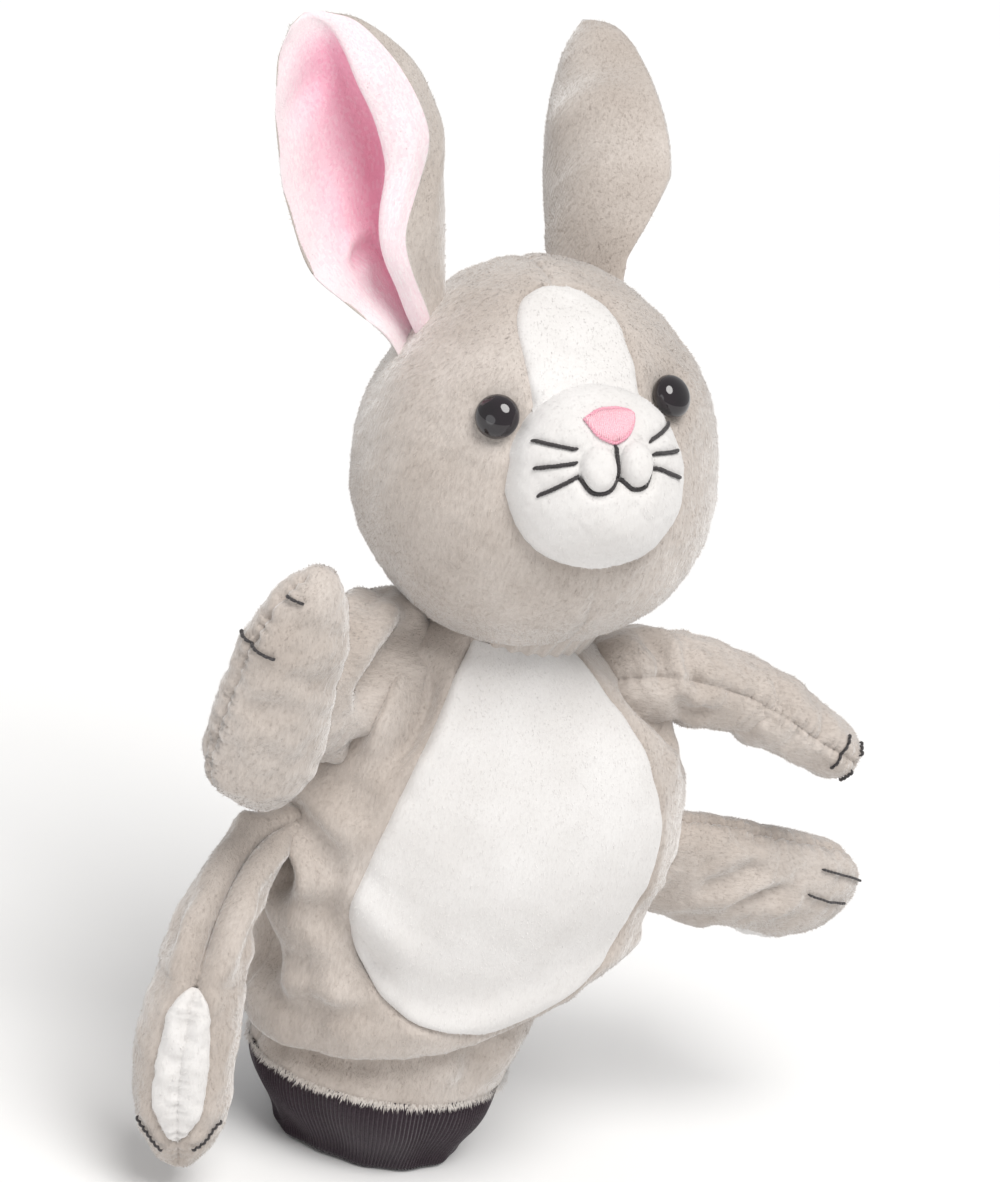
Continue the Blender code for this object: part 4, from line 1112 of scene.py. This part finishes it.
# Each limb's shape in mm, then its dress: folds as (u, v) places, depth and width, and seams as places,
# depth and pucker
LIMBS = {
    "arm_left_sleeve": (dict(
        spine=[(22, 3, 147), (36, 1, 151.5), (49, 0, 154), (62, -1.5, 154), (80, -2.4, 151)],
        widths=[17, 19, 18.5, 16.5, 14.2],
        depths=[15, 15, 14, 12.6, 11.2], across=AWAY, tip=0.0, root=0.35,
    ), dict(
        seed=71,
        folds=[
            ([(1.9, 0.34), (2.7, 0.42), (3.6, 0.40)], 3.0, 2.8),
            ([(2.2, 0.55), (2.9, 0.58), (3.4, 0.72)], 2.4, 2.2),
            ([(3.4, 0.50), (3.9, 0.62), (3.7, 0.82)], 2.0, 2.4),
            ([(4.0, 0.55), (4.8, 0.60), (5.6, 0.55)], 1.6, 2.8),
            ([(0.2, 0.5), (1.0, 0.55), (1.8, 0.5)], 1.6, 2.8),
        ],
        seams=[straight(pi, 0.1, 1.0, 1.4, 1.0)],
    )),
    "arm_left_paw": (dict(
        spine=[(70, -1.2, 153), (87, -4, 148), (100, -7, 142.5), (115, -10, 136.6)],
        widths=[14.6, 15.6, 14.6, 12.4],
        depths=[11.8, 11.2, 9.4, 7.8], across=AWAY, tip=0.22, root=0.06,
    ), dict(
        seed=73,
        folds=[
            ([(2.2, 0.16), (2.8, 0.24), (3.1, 0.30)], 1.8, 2.2),
            ([(3.2, 0.20), (3.7, 0.14), (4.3, 0.18)], 1.6, 2.2),
            ([(4.2, 0.10), (5.0, 0.15), (5.8, 0.10)], 1.2, 2.4),
            ([(2.3, 0.55), (2.9, 0.60), (3.1, 0.62)], 1.1, 1.8),
            ([(3.2, 0.45), (3.5, 0.42), (4.0, 0.45)], 1.1, 1.8),
        ],
        seams=[straight(pi, 0.0, 0.99, 1.5, 1.2), straight(0.0, 0.0, 0.99, 0.8, 0.5)],
    )),
    "arm_right_sleeve": (dict(
        spine=[(-20, 6, 146), (-34, 1, 148), (-47, -7, 149), (-60, -16, 149), (-74, -27, 148)],
        widths=[20, 24.5, 25, 23.5, 21],
        depths=[14, 15.5, 14.5, 13, 11],
        across=np.array((0.05, 0.05, 1)), tip=0.10, root=0.35,
    ), dict(
        seed=75,
        folds=[
            ([(5.75, 0.30), (5.35, 0.45), (5.0, 0.62), (4.6, 0.80)], 6.5, 5.0),
            ([(4.9, 0.28), (4.5, 0.42), (4.1, 0.60)], -2.4, 4.0),
            ([(3.2, 0.35), (3.8, 0.45), (4.2, 0.75)], 2.6, 3.2),
            ([(6.6, 0.35), (6.2, 0.50), (6.0, 0.70)], 1.6, 3.0),
            ([(0.6, 0.45), (1.4, 0.5), (2.4, 0.45)], 1.8, 3.4),
        ],
        seams=[straight(pi, 0.1, 0.95, 0.8, 0.5)],
    )),
    "arm_right_paw": (dict(
        spine=[(-72, -29, 119), (-79, -34, 139), (-82, -40, 163), (-82, -46, 197)],
        widths=[12, 18.0, 16.5, 12.5],
        depths=[10.5, 12.5, 11.5, 9.5], across=BACK_LEFT, tip=0.24, root=0.30,
    ), dict(
        seed=77,
        folds=[
            ([(3.5, 0.30), (3.75, 0.42), (3.6, 0.55)], 1.5, 2.0),
            ([(2.6, 0.22), (2.85, 0.34), (2.75, 0.48)], 1.3, 2.0),
            ([(3.5, 0.62), (4.2, 0.64), (4.8, 0.60)], 1.2, 3.2),
            ([(4.2, 0.76), (4.8, 0.72), (5.4, 0.74)], 1.0, 4.0),
        ],
        seams=[([(pi, 0.12), (pi + 0.1, 0.5), (pi, 0.99)], 1.6, 1.3), straight(0.0, 0.01, 0.99, 0.8, 0.6)],
    )),
    "leg_left": (dict(
        spine=[(50, -4, 100), (68, -2, 96.5), (84, 0, 93), (102, 4, 89.5), (122, 11, 84), (145.5, 22, 78)],
        widths=[15, 18.5, 19.6, 18.6, 18.6, 17.0],
        depths=[9, 10, 11.5, 12.6, 13.2, 11.4],
        across=np.array((0.25, -0.3, 0.92)), tip=0.2, root=0.15,
    ), dict(
        seed=81,
        folds=[
            ([(1.5, 0.26), (1.3, 0.36), (1.0, 0.44), (0.6, 0.50)], 2.2, 3.2),
            ([(1.9, 0.46), (1.55, 0.50), (1.25, 0.58), (1.1, 0.64)], 2.6, 2.6),
            ([(1.7, 0.60), (1.4, 0.66), (1.15, 0.70)], -1.4, 2.6),
            ([(0.5, 0.30), (0.35, 0.42), (0.2, 0.52)], 1.8, 2.4),
            ([(2.6, 0.30), (2.2, 0.40), (2.0, 0.50)], 1.4, 3.2),
            ([(4.0, 0.40), (4.6, 0.46), (5.2, 0.42)], 1.5, 3.4),
        ],
        seams=[straight(u, 0.05, 0.99, 0.9, 0.7) for u in (0.0, 2 * pi, pi)],
    )),
    "leg_right": (dict(
        spine=[
            (-46, -5, 106), (-63, -12, 98), (-74, -23, 83), (-77.5, -29, 60), (-76.5, -33, 35), (-72, -36, 8.5),
        ],
        widths=[10, 12, 15, 16.6, 16.6, 13.5],
        depths=[7, 8, 10.5, 13.2, 14.2, 12.4], across=AWAY, tip=0.2, root=0.15,
    ), dict(
        seed=85,
        folds=[
            ([(pi, 0.08), (pi + 0.05, 0.28), (pi, 0.45), (pi - 0.02, 0.62)], 5.0, 3.4),
            ([(3.8, 0.24), (4.3, 0.20), (4.8, 0.24)], -1.8, 2.6),
            ([(3.6, 0.34), (4.0, 0.42), (4.2, 0.55)], 1.2, 3.0),
            ([(2.2, 0.30), (2.0, 0.42), (2.3, 0.55)], 1.2, 3.0),
            ([(0.4, 0.36), (1.2, 0.42), (2.0, 0.38)], 1.4, 3.4),
            ([(2.5, 0.60), (2.4, 0.70), (2.5, 0.80)], 0.9, 2.4),
        ],
        seams=[
            *(straight(u, 0.05, 0.99, 0.8, 0.5) for u in (0.0, 2 * pi)), straight(pi, 0.05, 0.99, 1.1, 1.0),
        ],
    )),
}


def limb_piece(name, size, finish, nap, closes=(True, True), sink=None):
    shape, dress = LIMBS[name]
    grid = limb_grid(limb(**shape), *size, closes, sink, **dress)
    return dressed(name, grid, True, finish, nap, dress["seed"] + 1)


def make_sleeve(side, size, nap, closes):
    """A sleeve at the shoulder, over its finger stall."""
    name = f"arm_{side}_sleeve"
    skin, fuzz = limb_piece(name, size, grey_out, nap, closes)
    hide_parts(name, f"arm_{side}_finger_stall")
    spread((skin, fuzz))


def make_paw(side, size, finish, nap, stitches):
    name = f"arm_{side}_paw"
    skin, fuzz = limb_piece(name, size, finish, nap)
    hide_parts(f"{name}_side_a", f"{name}_side_b")
    claws(name, f"arm_{side}", f"paw_{side}", stitches)
    return skin, fuzz


def make_arms():
    make_sleeve(
        "left", (72, 120), (1, 0, -0.2), (True, False)
    )
    stitches = [(2.5, 0.76, 3.7, 0.76), (2.1, 0.91, 2.8, 0.91), (3.5, 0.91, 4.2, 0.91)]
    pieces = make_paw("left", (84, 124), grey_out, (1, 0, -0.4), stitches)
    spread(pieces)
    make_sleeve(
        "right", (72, 140), (-1, -0.6, 0), (True, True)
    )
    stitches = [(2.7, 0.79, 3.9, 0.79), (3.3, 0.93, 4.0, 0.93)]
    for made in make_paw("right", (110, 128), grey_down, (0, 0, 1), stitches):
        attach(made, "paw_right")


def sole_half_angle(v):
    share = np.clip((v - SOLE_START) / 0.16, 0, 1)
    closing = np.clip((SOLE_END - v) / 0.14, 0, 1)
    return SOLE_HALF_ANGLE * np.sqrt(1 - (1 - share) ** 2) * np.sqrt(1 - (1 - closing) ** 2)


def sole_inside(u, v):
    """About how far a place on a leg is inside its white sole, in mm."""
    ends = np.minimum(v - SOLE_START, SOLE_END - v) * LEG_RUN
    return np.where(ends < 0, ends, (sole_half_angle(v) - np.abs(u - pi)) * LEG_TURN)


def sole_sink(u, v):
    return let_in(sole_inside(u, v), 2.0, -0.5, 1.6, 0.9)


def make_leg(side, finish, nap, toes):
    """A stuffed leg with its white sole, thinner wadding inside it and its toe stitches."""
    body = f"leg_{side}"
    shape, dress = LIMBS[body]
    seed = dress["seed"]
    skin, fuzz = limb_piece(body, (120, 128), finish, nap, sink=sole_sink)
    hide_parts(f"{body}_side_a", f"{body}_side_b")

    run = 0.563 + (SOLE_END - 0.566) * np.sin(np.linspace(0, pi / 2, 64)) ** 2
    across, v = np.meshgrid(np.linspace(-1, 1, 49), run)
    u = pi + across * sole_half_angle(v)
    base, lay = limb_skin(limb(**shape), u, v, **dress)
    pad = tucked(sole_inside(u, v), 0.5, 2.0, 1.2) + 0.35 * ripple(base, 7, seed + 2)
    sole, down = dressed(
        f"{body}_sole", base + lay * pad[..., None], False, white_down, nap, seed + 3, length=1.0
    )
    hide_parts(f"{body}_sole")

    thinner = {key: [0.5 * size for size in shape[key]] for key in ("widths", "depths")}
    u, v = np.meshgrid(around(40), np.linspace(0.22, 0.93, 40))
    wadding = limb(**{**shape, **thinner})(u, v)
    wadding = wadding + 0.5 * ripple(wadding, 7, seed + 4)[..., None] * normals(wadding, True)
    wadding[0], wadding[-1] = wadding[0].mean(0), wadding[-1].mean(0)
    fill = grid_piece(f"{body}_fill", wadding, fibre_fill)
    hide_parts(f"{body}_stuffing")
    spread((skin, fuzz, sole, down, fill))
    claws(body, body, body, toes, 0.42)


def make_legs():
    toes = [(0.62, 0.71, 0.70, 0.90), (1.12, 0.70, 1.20, 0.87)]
    make_leg("left", grey_out, (1, 0.1, -0.2), toes)
    toes = [(2.15, 0.86, 2.75, 0.925), (3.55, 0.925, 4.1, 0.86)]
    make_leg("right", grey_down, (0, 0, -1), toes)


# Inner parts, floor, light and camera

def dress_inner_parts():
    for name, finish in {
        "head_finger_pocket": tricot,
        "head_stuffing": fibre_fill,
        "eye_washer_left": washer_plastic,
        "eye_washer_right": washer_plastic,
    }.items():
        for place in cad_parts[name].material_slots:
            place.material = finish


def lamp(name, kind, power, colour, direction):
    data = bpy.data.lights.new(name, kind)
    data.energy, data.color = power, colour
    made = added(name, data)
    made.rotation_euler = Vector(direction).to_track_quat("-Z", "Y").to_euler()
    return made, data


def make_studio():
    mesh = bpy.data.meshes.new("floor")
    mesh.from_pydata([(-4, -4, 0), (4, -4, 0), (4, 4, 0), (-4, 4, 0)], [], [(0, 1, 2, 3)])
    mesh.materials.append(mottled("pale_floor", (0.86, 0.86, 0.86), (0.88, 0.88, 0.88), 0.9, 300.0))
    floor = added("floor", mesh)
    floor.location.z = -0.0006
    world = bpy.data.worlds.new("studio")
    bpy.context.scene.world = world
    world.use_nodes = True
    background = world.node_tree.nodes["Background"].inputs
    background["Color"].default_value, background["Strength"].default_value = (1.0, 1.0, 1.0, 1), 0.52
    _, sun = lamp("key", "SUN", 2.4, (1.0, 0.985, 0.965), (0.02, 0.46, -0.95))
    sun.angle = radians(36)
    place = Vector((-1.1, -0.7, 0.35))
    fill, disk = lamp("fill", "AREA", 1.6, (0.97, 0.985, 1.0), Vector((0, 0, 0.17)) - place)
    fill.location = place
    disk.shape, disk.size = "DISK", 0.8


def make_camera():
    data = bpy.data.cameras.new("camera")
    data.lens, data.sensor_width, data.sensor_fit = 120.6, 36.0, "AUTO"
    camera = added("camera", data)
    azimuth, elevation, roll, distance = radians(-27), radians(21), radians(16), 1.1
    target = Vector((-0.007, 0, 0.1755))
    back = Vector((sin(azimuth) * cos(elevation), -cos(azimuth) * cos(elevation), sin(elevation)))
    turn = back.to_track_quat("Z", "Y").to_matrix().to_4x4() @ Matrix.Rotation(roll, 4, "Z")
    camera.matrix_world = Matrix.Translation(target + back * distance) @ turn
    bpy.context.scene.camera = camera


make_camera()
make_trunk()
make_cuff()
make_head()
make_face()
make_eyes()
make_neck()
make_right_ear()
make_left_ear()
make_arms()
make_legs()
dress_inner_parts()
make_studio()
bpy.context.scene.view_settings.view_transform = "Standard"
